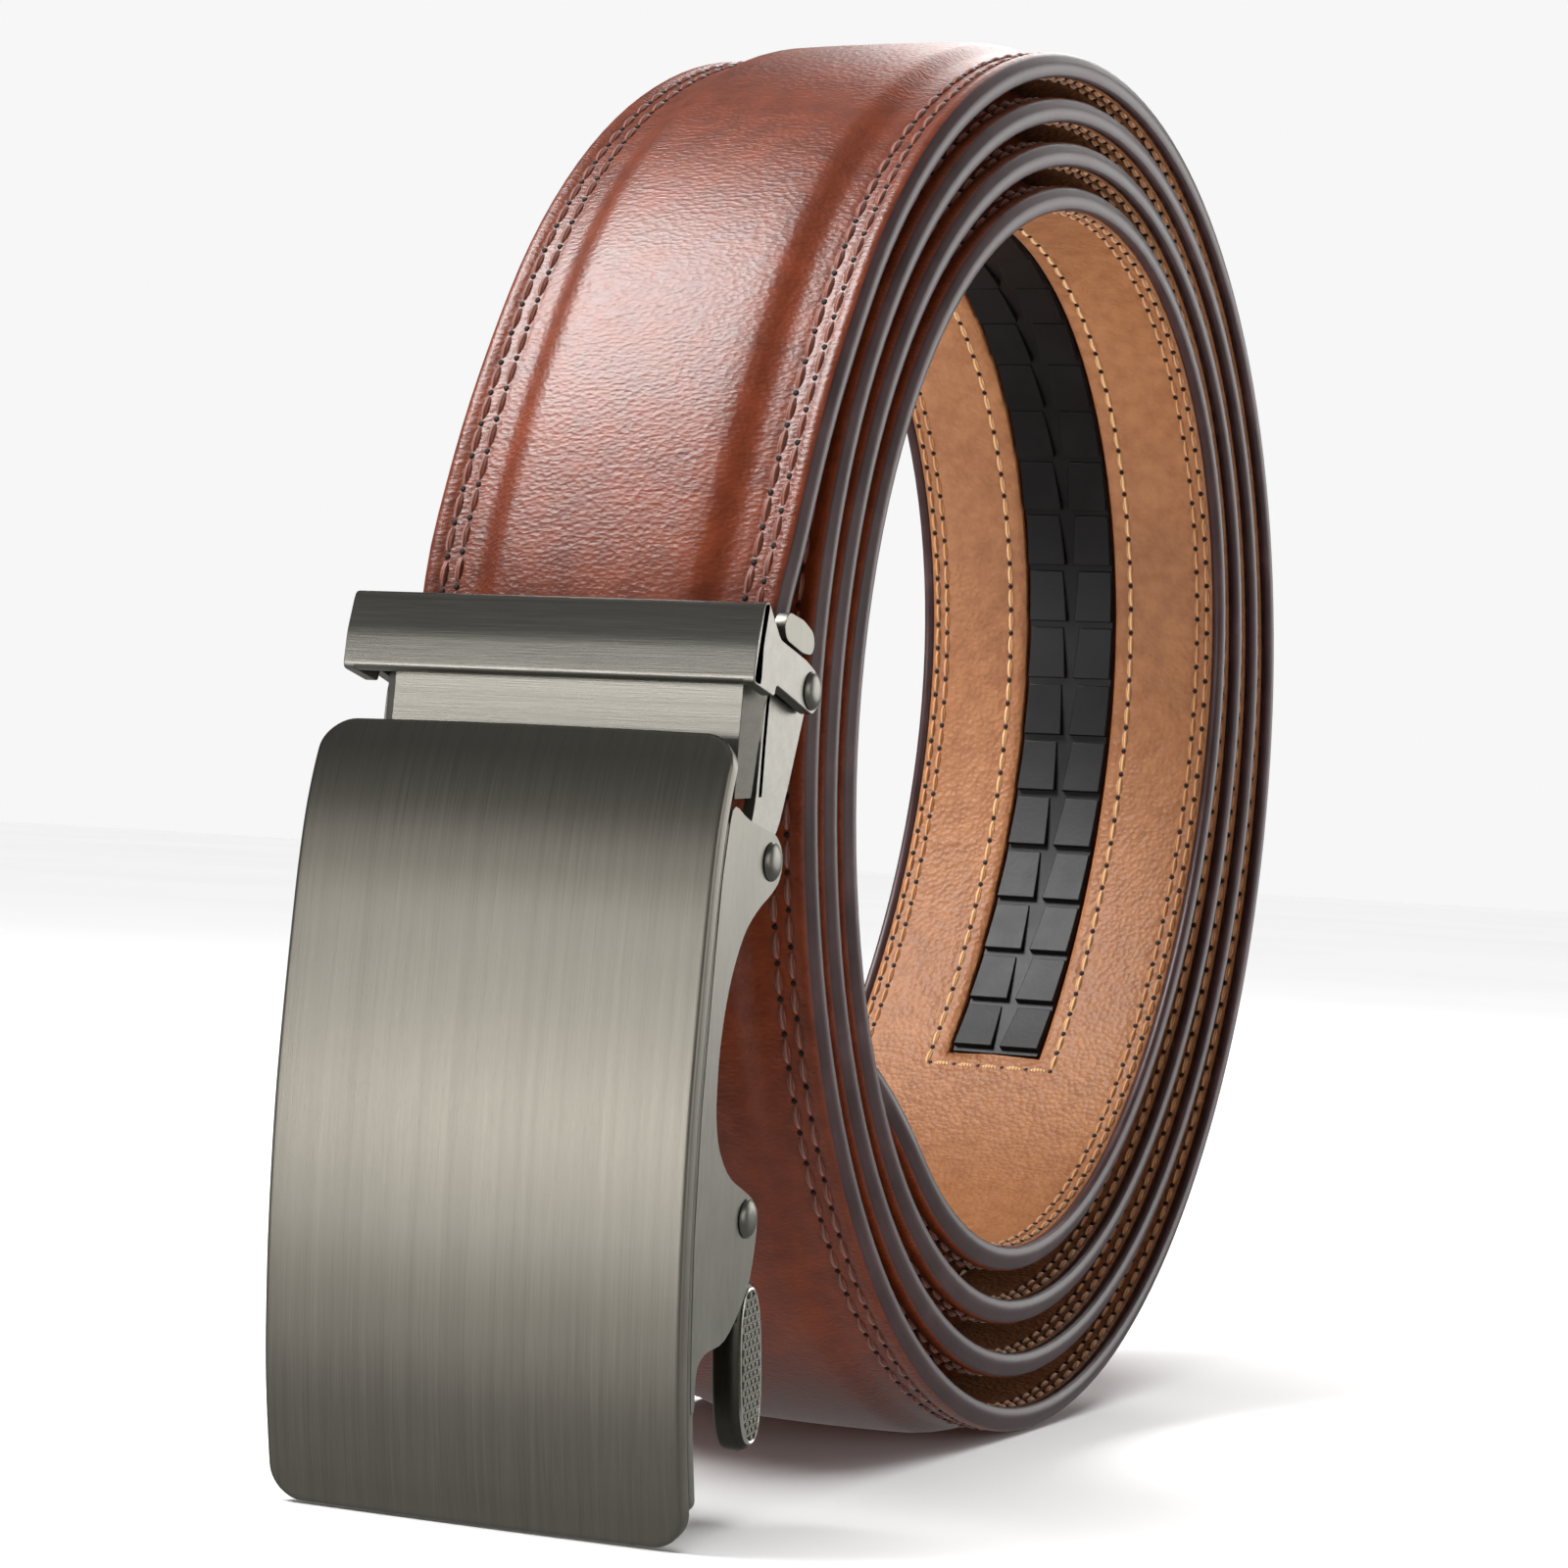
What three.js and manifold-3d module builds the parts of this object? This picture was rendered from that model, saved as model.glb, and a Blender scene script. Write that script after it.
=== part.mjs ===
// Ratchet belt, rolled up and standing on its rim, with its buckle at the outer end.
// Millimetres, +Z up, X across the strap, -Y towards the buckle, floor at Z = 0.
import * as THREE from 'three';
import { mergeVertices } from 'three/addons/utils/BufferGeometryUtils.js';
import Module from 'manifold-3d';

const wasm = await Module();
wasm.setup();

// strap
const STRAP_WIDTH = 35;
const LINING = 1.0;                  // tan lining leather
const GLUE_GAP = 0.2;                // clear space between lining and cover
const COVER_EDGE = 1.1;              // cover leather at its margins
const PAD_RISE = 1.4;                // how far the padded middle stands above the margins
const PAD_WIDTH = 24.6;              // foot of the padded middle
const PAD_SLOPE = 1.7;               // width of the slope on each side of the padding
const TIP_LENGTH = 24;               // tapered, rounded free end
const RIM = LINING + GLUE_GAP + COVER_EDGE;
const THICKNESS = RIM + PAD_RISE;

// coil: travel angle 0 is at the front, 90 at the top, 180 at the back
const COIL_RADIUS = 70.0;            // rim face of the outermost turn
const TURN_PITCH = 5.09;             // mean distance between turns
const COIL_LOBES = [
  { lobe: 1, cos: -2.0, sin: -1.31, cosPerTurn: 0.97, sinPerTurn: 0.74 },
  { lobe: 2, cos: -0.43, sin: -0.07, cosPerTurn: -0.08, sinPerTurn: -0.63 },
  { lobe: 3, cos: -0.3, sin: 0.59, cosPerTurn: 0, sinPerTurn: 0 },
];
const SPIRAL_START = 45;             // degrees, where the straight run into the clamp ends
const SPIRAL_STEP = 10;
const SPIRAL_STEPS = 135;
const TIP_ANGLE = 1421;
const CENTRE_HEIGHT = 68.25;         // coil centre over the floor; the lowest padding is flattened

// ratchet track in the lining's window
const WINDOW = { from: 975, to: 1315, width: 10.6 };
const TRACK = { width: 9.8, centreGap: 1.5, back: 0.85, base: 0.45, toothTop: -0.15, teeth: 48 };

// buckle, measured from its hinge pin: out is away from the coil, up is along the buckle;
// its tables are in hundredths of the buckle's length
const BUCKLE_LENGTH = 65;
const SHARE = BUCKLE_LENGTH / 100;
const HINGE_STANDOFF = 4.4;          // hinge pin outside the outermost turn
const PIN_RADIUS = 1.15;
const RUNNING_CLEARANCE = 0.06;
const HEAD_RADIUS = 1.65;
const HEAD_HEIGHT = 0.55;
const SIDE_ROOM = 0.7;               // strap's edge to the frame walls
const SLIDE_GAP = 0.25;              // between walls that move past each other
const WALL = 1.1;                    // frame walls and loop ears
const ARM_WALL = 1.0;                // clamp side arms
const TAB_WALL = 1.05;               // jaw side tabs
const EAR_INNER = STRAP_WIDTH / 2 + SIDE_ROOM;
const EAR_OUTER = EAR_INNER + WALL;
const ARM_OUTER = EAR_INNER - SLIDE_GAP;
const ARM_INNER = ARM_OUTER - ARM_WALL;
const CLAMPED_WIDTH = 2 * (ARM_INNER - SLIDE_GAP);   // the strap's end is trimmed to fit the clamp
const PLATE_HALF = EAR_OUTER;
const PLATE_THICK = 1.3;
const PLATE_CORNER = 3.0;
const PLATE_CROWN = 0.35;
const PLATE_GAP = 0.3;
const BACKING = 0.9;
const CLAMP_WALL = 1.1;
const CLAMP_BEVEL = 1.5;
const LEVER_WALL = 2.5;              // thumb tab
const LEVER_PLAY = 0.6;              // thumb tab to frame wall
const HUB_WALL = 0.95;
const PAWL_INSET = 4.5;

const LOOP_PIN = { out: -12.62, up: 20.77 };
const LEVER_PIN = { out: 7.85, up: -44.62 };
const HINGE_PIN = { out: 0, up: 0 };
const HINGE_LEVEL = -4.15;           // hinge pin against the coil's centre
const PLATE_CURVE = [
  { up: -82.92, out: 26.62 }, { up: -76.92, out: 27.23 }, { up: -66.15, out: 27.69 },
  { up: -55.38, out: 27.23 }, { up: -43.85, out: 26.15 }, { up: -28.31, out: 23.85 }, { up: -9.23, out: 19.69 }, { up: 0, out: 17.38 },
  { up: 7.08, out: 15.08 }, { up: 13.54, out: 12 }, { up: 17.23, out: 9.38 },
];

const BORE_REACH = STRAP_WIDTH;      // cutting length for the pin holes

const rad = Math.PI / 180;
const lerp = (a, b, t) => a + (b - a) * t;
const clamp = (v, lo, hi) => Math.min(hi, Math.max(lo, v));

// the roll tips forward until the plate's lower edge stands on the floor too
const plateCurve = new THREE.CatmullRomCurve3(
  PLATE_CURVE.map(p => new THREE.Vector3(0, p.out * SHARE, p.up * SHARE)), false, 'centripetal');
const CURVE_STEPS = 200;
const HINGE = { out: COIL_RADIUS + HINGE_STANDOFF, up: HINGE_LEVEL * SHARE };
const curvePoints = plateCurve.getPoints(CURVE_STEPS).map(p => [p.y, p.z]);
function curveNormal(k) {
  const a = curvePoints[Math.max(0, k - 1)], b = curvePoints[Math.min(CURVE_STEPS, k + 1)];
  const len = Math.hypot(b[0] - a[0], b[1] - a[1]);
  return [(b[1] - a[1]) / len, -(b[0] - a[0]) / len];
}
function restingLean() {
  const [no, nu] = curveNormal(0);
  const leans = [-PLATE_CROWN, PLATE_THICK].map(depth => {
    const out = HINGE.out + curvePoints[0][0] - no * depth, up = HINGE.up + curvePoints[0][1] - nu * depth;
    return Math.atan2(up, out) + Math.asin(CENTRE_HEIGHT / Math.hypot(out, up));
  });
  return Math.min(...leans);
}
const LEAN = restingLean();

// a point given from the coil's centre, before the roll leans, to the row's Y and Z
function settle(out, up) {
  const c = Math.cos(LEAN), s = Math.sin(LEAN);
  return [-out * c - up * s, -out * s + up * c + CENTRE_HEIGHT];
}
const fromHinge = (out, up) => settle(HINGE.out + out, HINGE.up + up);

function coilRadius(angle) {
  const turns = angle / 360;
  let r = COIL_RADIUS - TURN_PITCH * turns;
  for (const l of COIL_LOBES) {
    const a = l.lobe * angle * rad;
    r += (l.cos + l.cosPerTurn * turns) * Math.cos(a) + (l.sin + l.sinPerTurn * turns) * Math.sin(a);
  }
  return r;
}
function spiralPoint(angle) {
  const r = coilRadius(angle);
  return settle(r * Math.cos(angle * rad), r * Math.sin(angle * rad));
}

// stations along the strap: position of the rim's outer face, outward normal, travel angle
function withNormals(points) {
  return points.map((p, i) => {
    const a = points[Math.max(0, i - 1)].at, b = points[Math.min(points.length - 1, i + 1)].at;
    const ty = b[0] - a[0], tz = b[1] - a[1], len = Math.hypot(ty, tz);
    return { ...p, normal: [-tz / len, ty / len] };
  });
}
function strapStations() {
  const lead = [
    { out: -4.62, up: 7.69 }, { out: -5.23, up: 14.62 }, { out: -6.77, up: 22.31 }, { out: -9.54, up: 31.54 },
    { out: -16.31, up: 44.62 }, { out: -25.23, up: 58.77 },
  ].map(p => fromHinge(p.out * SHARE, p.up * SHARE));
  const guide = [...lead, ...[45, 54, 63].map(spiralPoint)].map(([y, z]) => new THREE.Vector3(0, y, z));
  const curve = new THREE.CatmullRomCurve3(guide, false, 'centripetal');
  const points = [];
  const leadRows = 12;
  for (let i = 0; i < leadRows; i++) {
    const p = curve.getPoint((i / leadRows) * (lead.length / (guide.length - 1)));
    points.push({ at: [p.y, p.z], angle: SPIRAL_START - (leadRows - i) });
  }
  for (let i = 0; i <= SPIRAL_STEPS; i++) {
    const angle = SPIRAL_START + i * SPIRAL_STEP;
    points.push({ at: spiralPoint(angle), angle });
  }
  const last = SPIRAL_START + SPIRAL_STEPS * SPIRAL_STEP;
  for (const part of [0.2, 0.4, 0.58, 0.74, 0.86, 0.94, 0.985, 1]) {
    const angle = lerp(last, TIP_ANGLE, part);
    points.push({ at: spiralPoint(angle), angle });
  }
  const rows = withNormals(points);
  let run = 0;
  rows.forEach((r, i) => {
    if (i) run += Math.hypot(r.at[0] - rows[i - 1].at[0], r.at[1] - rows[i - 1].at[1]);
    r.run = run;
  });
  for (const r of rows) {
    const toTip = run - r.run, u = clamp(1 - toTip / TIP_LENGTH, 0, 1);
    const narrow = lerp(CLAMPED_WIDTH, STRAP_WIDTH, clamp((r.run - 8) / 14, 0, 1)) / 2;
    r.half = Math.max(3.5, narrow * Math.sqrt(Math.max(0, 1 - u ** 2.6)));
    r.taper = r.half / (STRAP_WIDTH / 2);
  }
  return rows;
}
const stations = strapStations();
function at(row, height) {
  return [row.at[0] + row.normal[0] * (height - RIM), row.at[1] + row.normal[1] * (height - RIM)];
}

// closed slab over a grid of cells; each row holds columns of { x, low: [y, z], high: [y, z] }
function slab(rows, present = () => true) {
  const n = rows[0].length, pos = [], index = [];
  for (const row of rows) for (const c of row) pos.push(c.x, c.low[0], c.low[1], c.x, c.high[0], c.high[1]);
  const B = (i, j) => 2 * (i * n + j), T = (i, j) => B(i, j) + 1;
  const has = (i, j) => i >= 0 && j >= 0 && i < rows.length - 1 && j < n - 1 && present(i, j);
  const quad = (a, b, c, d) => index.push(a, b, c, a, c, d);
  for (let i = 0; i < rows.length - 1; i++) for (let j = 0; j < n - 1; j++) {
    if (!has(i, j)) continue;
    quad(T(i, j), T(i, j + 1), T(i + 1, j + 1), T(i + 1, j));
    quad(B(i, j), B(i + 1, j), B(i + 1, j + 1), B(i, j + 1));
    if (!has(i - 1, j)) quad(B(i, j), B(i, j + 1), T(i, j + 1), T(i, j));
    if (!has(i + 1, j)) quad(T(i + 1, j), T(i + 1, j + 1), B(i + 1, j + 1), B(i + 1, j));
    if (!has(i, j - 1)) quad(T(i, j), T(i + 1, j), B(i + 1, j), B(i, j));
    if (!has(i, j + 1)) quad(B(i, j + 1), B(i + 1, j + 1), T(i + 1, j + 1), T(i, j + 1));
  }
  const g = new THREE.BufferGeometry();
  g.setAttribute('position', new THREE.Float32BufferAttribute(pos, 3));
  g.setIndex(index);
  return clean(g);
}
function clean(g) {
  const c = g.clone();
  for (const k of ['normal', 'uv']) c.deleteAttribute(k);
  const m = mergeVertices(c, 1e-4);
  const p = m.attributes.position, used = new Map(), pos = [], out = [];
  const idx = m.index.array;
  for (let i = 0; i < idx.length; i += 3) {
    const t = [idx[i], idx[i + 1], idx[i + 2]];
    if (t[0] === t[1] || t[1] === t[2] || t[0] === t[2]) continue;
    for (const v of t) {
      if (!used.has(v)) { used.set(v, pos.length / 3); pos.push(p.getX(v), p.getY(v), p.getZ(v)); }
      out.push(used.get(v));
    }
  }
  const g2 = new THREE.BufferGeometry();
  g2.setAttribute('position', new THREE.Float32BufferAttribute(pos, 3));
  g2.setIndex(out);
  g2.computeVertexNormals();
  return g2;
}

// solids of one profile in the row's Y and Z, drawn out along X
function prism(profile, x0, x1, holes = []) {
  const shape = new THREE.Shape(profile.map(([y, z]) => new THREE.Vector2(y, z)));
  for (const h of holes) shape.holes.push(new THREE.Path(h.map(([y, z]) => new THREE.Vector2(y, z))));
  const g = new THREE.ExtrudeGeometry(shape, { depth: x1 - x0, bevelEnabled: false, steps: 1 });
  g.applyMatrix4(new THREE.Matrix4().set(0, 0, 1, x0, 1, 0, 0, 0, 0, 1, 0, 0, 0, 0, 0, 1));
  return g;
}
const place = list => list.map(([out, up]) => fromHinge(out * SHARE, up * SHARE));
function ring(centre, radius, sides) {
  const list = [];
  for (let i = 0; i < sides; i++) {
    const a = (i / sides) * 2 * Math.PI;
    list.push(fromHinge(centre.out * SHARE + radius * Math.cos(a), centre.up * SHARE + radius * Math.sin(a)));
  }
  return list;
}
const boreFor = centre => prism(ring(centre, PIN_RADIUS + RUNNING_CLEARANCE, 16), -BORE_REACH, BORE_REACH);
function toSolid(geometry) {
  const g = clean(geometry);
  return new wasm.Manifold(new wasm.Mesh({
    numProp: 3,
    vertProperties: new Float32Array(g.attributes.position.array),
    triVerts: new Uint32Array(g.index.array),
  }));
}
function fromSolid(solid) {
  const m = solid.getMesh();
  const g = new THREE.BufferGeometry();
  g.setAttribute('position', new THREE.BufferAttribute(new Float32Array(m.vertProperties), 3));
  g.setIndex(new THREE.BufferAttribute(new Uint32Array(m.triVerts), 1));
  return clean(g);
}
const join = list => fromSolid(list.map(toSolid).reduce((a, b) => a.add(b)));
function cut(body, tools) {
  return fromSolid(tools.map(toSolid).reduce((a, b) => a.subtract(b), toSolid(body)));
}

// strap cover: flat margins and a padded middle, flattened where it meets the floor
function coverGeometry() {
  const rows = stations.map(r => {
    const foot = PAD_WIDTH / 2, top = foot - PAD_SLOPE;
    const full = clamp((stations.at(-1).run - r.run) / TIP_LENGTH, 0, 1);
    const rise = PAD_RISE * Math.min(1, full * 1.6) * clamp(0.72 + r.run / 60, 0, 1);
    const columns = [
      { x: -r.half, rise: -0.25 }, { x: -foot * r.taper, rise: 0 }, { x: -top * r.taper, rise },
      { x: top * r.taper, rise }, { x: foot * r.taper, rise: 0 }, { x: r.half, rise: -0.25 },
    ];
    return columns.map(c => {
      const high = at(r, RIM + c.rise);
      return { x: c.x, low: at(r, LINING + GLUE_GAP), high: [high[0], Math.max(0, high[1])] };
    });
  });
  return slab(rows);
}

// lining: one sheet with a long window for the track
function liningGeometry() {
  const half = WINDOW.width / 2;
  const rows = stations.map(r => [-r.half, -Math.min(half, r.half * 0.6), Math.min(half, r.half * 0.6), r.half]
    .map(x => ({ x, low: at(r, 0), high: at(r, LINING) })));
  const first = stations.findIndex(r => r.angle >= WINDOW.from - 0.5);
  const last = stations.findIndex(r => r.angle >= WINDOW.to - 0.5);
  return slab(rows, (i, j) => j !== 1 || i < first || i >= last);
}

// track: a strip with two columns of ramped teeth that face the middle of the coil
function trackGeometry() {
  const margin = 0.6, from = WINDOW.from + margin, to = WINDOW.to - margin;
  const step = (to - from) / TRACK.teeth, points = [];
  for (let i = 0; i < TRACK.teeth; i++) {
    points.push({ angle: from + i * step + 0.06, tooth: 0 });
    points.push({ angle: from + (i + 0.93) * step, tooth: 1 });
  }
  points.push({ angle: to, tooth: 0 });
  const rows = withNormals(points.map(p => ({ ...p, at: spiralPoint(p.angle) })));
  const w = TRACK.width / 2, g = TRACK.centreGap / 2;
  return slab(rows.map(r => {
    const tooth = lerp(TRACK.base, TRACK.toothTop, r.tooth);
    return [
      { x: -w, low: tooth }, { x: -g, low: tooth }, { x: -g + 0.25, low: TRACK.base },
      { x: g - 0.25, low: TRACK.base }, { x: g, low: tooth }, { x: w, low: tooth },
    ].map(c => ({ x: c.x, low: at(r, c.low), high: at(r, TRACK.back) }));
  }));
}

// sheet pieces that follow the plate's curve
function curvedSheet({ fromUp, toUp, outer, thick, half, corner, rowsCount, crown }) {
  const length = toUp - fromUp, offsets = [];
  const edge = corner > 0.5 ? [0, 0.12, 0.5, 1] : [0, 1];
  const margin = Math.max(corner, 1);
  for (const e of edge) offsets.push(e * margin);
  const inner = [];
  for (let i = 1; i < rowsCount; i++) inner.push(lerp(margin, length - margin, i / rowsCount));
  const ups = [...offsets, ...inner, ...offsets.map(o => length - o).reverse()].map(o => fromUp + o);
  const nearest = up => curvePoints.reduce((best, p, k) =>
    Math.abs(p[1] - up) < Math.abs(curvePoints[best][1] - up) ? k : best, 0);
  return ups.map(up => {
    const k = nearest(up), n = curveNormal(k);
    const d = Math.min(up - fromUp, toUp - up);
    const pull = d < corner ? corner - Math.sqrt(Math.max(0, corner ** 2 - (corner - d) ** 2)) : 0;
    const h = half - pull, p = curvePoints[k];
    return [-h, -h * 0.55, 0, h * 0.55, h].map((x, j) => {
      const lift = crown * [0, 0.75, 1, 0.75, 0][j];
      const off = s => fromHinge(p[0] + n[0] * s, p[1] + n[1] * s);
      return { x, low: off(outer - thick), high: off(outer + lift) };
    });
  });
}
const plateEnds = { low: PLATE_CURVE[0].up * SHARE, high: PLATE_CURVE.at(-1).up * SHARE };
function plateGeometry() {
  return slab(curvedSheet({
    fromUp: plateEnds.low, toUp: plateEnds.high, outer: 0, thick: PLATE_THICK,
    half: PLATE_HALF, corner: PLATE_CORNER, rowsCount: 12, crown: PLATE_CROWN,
  }));
}

// frame: a backing sheet behind the plate with a side wall each side, each with an ear and a lug
const FRAME_WALL = [
  [11.38, 9.08], [7.38, 6.31], [1.23, 4.15], [-1.38, 3.38], [-3.08, 1.54], [-3.54, -0.46], [-2.46, -2.92],
  [0.31, -4.31], [3.69, -5.38], [8, -7.69], [11.54, -12], [14, -16.62], [15.85, -22.15], [16.92, -29.23], [16.31, -34],
  [13.38, -38.31], [8.31, -41.08], [5.54, -42.77], [4.46, -45.08], [5.23, -48.31], [7.08, -53.23], [11.08, -56.92],
  [15.23, -59.38], [20.31, -59.08], [23.08, -60.62], [23.54, -66.15], [24.62, -66.15], [24.15, -55.38],
  [23.23, -43.85], [20.92, -28.31], [16.77, -9.23], [14.62, 0],
];
const BACKING_ENDS = { low: -79.23, high: 8.62 };
function frameGeometry() {
  const backing = slab(curvedSheet({
    fromUp: BACKING_ENDS.low * SHARE, toUp: BACKING_ENDS.high * SHARE, outer: -PLATE_THICK - PLATE_GAP,
    thick: BACKING, half: EAR_OUTER - 0.05, corner: 1.2, rowsCount: 10, crown: 0,
  }));
  const bodies = [backing];
  for (const side of [-1, 1]) {
    const x = [side * EAR_INNER, side * EAR_OUTER].sort((a, b) => a - b);
    bodies.push(prism(place(FRAME_WALL), x[0], x[1]));
  }
  return cut(join(bodies), [HINGE_PIN, LEVER_PIN].map(boreFor));
}

// clamp body: bevelled front wall, two side arms down to the hinge and a back wall behind the strap
const CLAMP_ARM = [
  [-2.92, 20.77], [-7.69, 22.46], [-10.77, 24], [-13.23, 24.31], [-15.69, 22.92], [-16.46, 20.31],
  [-14.77, 17.23], [-10.77, 10.15], [-7.08, 4], [-4, 0.92], [-3.23, -1.85], [-0.92, -3.54], [1.85, -3.08], [3.38, -0.92], [3.08, 1.85],
  [0.31, 7.69], [-1.38, 14.77],
];
function clampGeometry() {
  const wallRows = [[1.85, 8], [0.54, 14.77], [-0.77, 20.62], [-1.6, 26.2]].map(([out, up]) =>
    [[-ARM_OUTER, 1], [-ARM_OUTER + CLAMP_BEVEL, 0], [ARM_OUTER - CLAMP_BEVEL, 0], [ARM_OUTER, 1]].map(([x, set]) => ({
      x, low: fromHinge(out * SHARE - CLAMP_WALL - set * (CLAMP_BEVEL - 0.35), up * SHARE),
      high: fromHinge(out * SHARE - set * CLAMP_BEVEL, up * SHARE),
    })));
  const back = [[-10.15, 16.31], [-8.46, 9.85], [-10, 9.38], [-11.69, 16]];
  const bodies = [slab(wallRows), prism(place(back), -ARM_INNER - 0.3, ARM_INNER + 0.3)];
  for (const side of [-1, 1]) {
    const x = [side * ARM_INNER, side * ARM_OUTER].sort((a, b) => a - b);
    bodies.push(prism(place(CLAMP_ARM), x[0], x[1]));
  }
  return cut(join(bodies), [HINGE_PIN, LOOP_PIN].map(boreFor));
}

// clamp loop: a front band over the strap with an ear each side, turning on its own pin
const LOOP_EAR = [
  [1.7, 33.1], [0.3, 33.1], [-3.08, 28.15], [-11.08, 24.92], [-14.31, 23.08], [-15.69, 20.92], [-15.23, 18.77],
  [-12.92, 17.54], [-1.54, 22.46], [-1.08, 20.92], [5.35, 23.3],
];
function loopGeometry() {
  const band = [[1.7, 33.1], [-0.15, 33.1], [2.1, 27.54], [2.6, 24.4], [3, 22.6], [5.35, 23.3], [4.05, 28.15]];
  const bodies = [prism(place(band), -EAR_OUTER, EAR_OUTER)];
  for (const side of [-1, 1]) {
    const x = [side * EAR_INNER, side * EAR_OUTER].sort((a, b) => a - b);
    bodies.push(prism(place(LOOP_EAR), x[0], x[1]));
  }
  return cut(join(bodies), [boreFor(LOOP_PIN)]);
}

// clamp jaw: a plate behind the strap whose side tabs wrap its edges above the loop's ears
function jawGeometry() {
  const tab = [[-5.54, 29.85], [-7.08, 31.38], [-11.69, 30], [-14.77, 28.15], [-15.08, 26.46], [-14.15, 25.23],
    [-11.38, 25.69], [-6.15, 27.85]];
  const plate = [[-13.54, 29.23], [-14.77, 28.15], [-15.08, 26.46], [-14.15, 25.23], [-12.92, 25.38]];
  const tabInner = STRAP_WIDTH / 2 + SIDE_ROOM / 2;
  const bodies = [prism(place(plate), -tabInner - 0.2, tabInner + 0.2)];
  for (const side of [-1, 1]) {
    const x = [side * tabInner, side * (tabInner + TAB_WALL)].sort((a, b) => a - b);
    bodies.push(prism(place(tab), x[0], x[1]));
  }
  return join(bodies);
}

// release lever: a hub on the lower pin, a pawl towards the strap's channel and a thumb tab
const THUMB = { out: 1.38, up: -65.54, reach: 4.15, height: 11.23 };
function leverGeometry() {
  const outer = EAR_INNER - LEVER_PLAY, hubHalf = outer - 0.1;
  const hub = prism(ring(LEVER_PIN, PIN_RADIUS + HUB_WALL, 16), -hubHalf, hubHalf);
  const nose = [[8.62, -42.46], [12.62, -34.77], [14.31, -35.23], [10.77, -45.23]];
  const pawl = prism(place(nose), -hubHalf + PAWL_INSET, hubHalf - PAWL_INSET);
  const tab = [];
  for (let i = 0; i < 16; i++) {
    const a = (i / 16) * 2 * Math.PI, c = Math.cos(a), s = Math.sin(a);
    tab.push([THUMB.out + THUMB.reach * Math.sign(c) * Math.abs(c) ** 0.8,
      THUMB.up + THUMB.height * Math.sign(s) * Math.abs(s) ** 0.8]);
  }
  const thumb = prism(place(tab), outer - LEVER_WALL, outer);
  const web = [[4.92, -44.62], [10.15, -46.46], [4.92, -59.38], [-0.92, -57.54]];
  const arm = prism(place(web), outer - LEVER_WALL, outer - 0.2);
  return cut(join([hub, pawl, thumb, arm]), [boreFor(LEVER_PIN)]);
}

// a rivet pin across the buckle, domed at both ends
function pinGeometry(centre, seat) {
  const r = PIN_RADIUS, h = seat + HEAD_HEIGHT;
  const half = [[0, h], [HEAD_RADIUS * 0.5, h - 0.08], [HEAD_RADIUS * 0.87, h - 0.26],
    [HEAD_RADIUS, seat + 0.08], [r, seat + 0.08]];
  const profile = [...half.map(([x, y]) => [x, -y]), ...half.slice().reverse()];
  const g = new THREE.LatheGeometry(profile.map(([x, y]) => new THREE.Vector2(x, y)), 14);
  g.rotateZ(-Math.PI / 2);
  const [y, z] = fromHinge(centre.out * SHARE, centre.up * SHARE);
  g.translate(0, y, z);
  return clean(g);
}

const LOOKS = {
  cover: { color: 0x82412a, roughness: 0.55, metalness: 0 },
  lining: { color: 0xa8784f, roughness: 0.7, metalness: 0 },
  track: { color: 0x1e1e20, roughness: 0.5, metalness: 0 },
  plate: { color: 0x98938a, roughness: 0.35, metalness: 1 },
  steel: { color: 0xaaa8a2, roughness: 0.35, metalness: 1 },
  dark: { color: 0x3c3a34, roughness: 0.4, metalness: 1 },
};
const group = new THREE.Group();
group.name = 'ratchet_belt';
function add(name, geometry, look) {
  const mesh = new THREE.Mesh(geometry, new THREE.MeshStandardMaterial(LOOKS[look]));
  mesh.name = name;
  group.add(mesh);
}
add('strap_cover', coverGeometry(), 'cover');
add('strap_lining', liningGeometry(), 'lining');
add('ratchet_track', trackGeometry(), 'track');
add('front_plate', plateGeometry(), 'plate');
add('buckle_frame', frameGeometry(), 'steel');
add('clamp_body', clampGeometry(), 'steel');
add('clamp_loop', loopGeometry(), 'steel');
add('clamp_jaw', jawGeometry(), 'steel');
add('release_lever', leverGeometry(), 'dark');
add('loop_pin', pinGeometry(LOOP_PIN, EAR_OUTER), 'steel');
add('hinge_pin', pinGeometry(HINGE_PIN, EAR_OUTER), 'steel');
add('lever_pin', pinGeometry(LEVER_PIN, EAR_OUTER), 'steel');

export default group;
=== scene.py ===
# %% [markdown]
# A ratchet belt is one long leather strap, rolled up here and standing on its rim, with a metal buckle at
# its outer end. The buckle has a sprung pawl that catches a toothed plastic track sewn into the lining.
# The solid model is loaded first. It fixes every size, and each piece below is built around it.

# %% Load the frame
import math
import bmesh
import bpy
import numpy as np
from mathutils import Matrix, Vector


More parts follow.
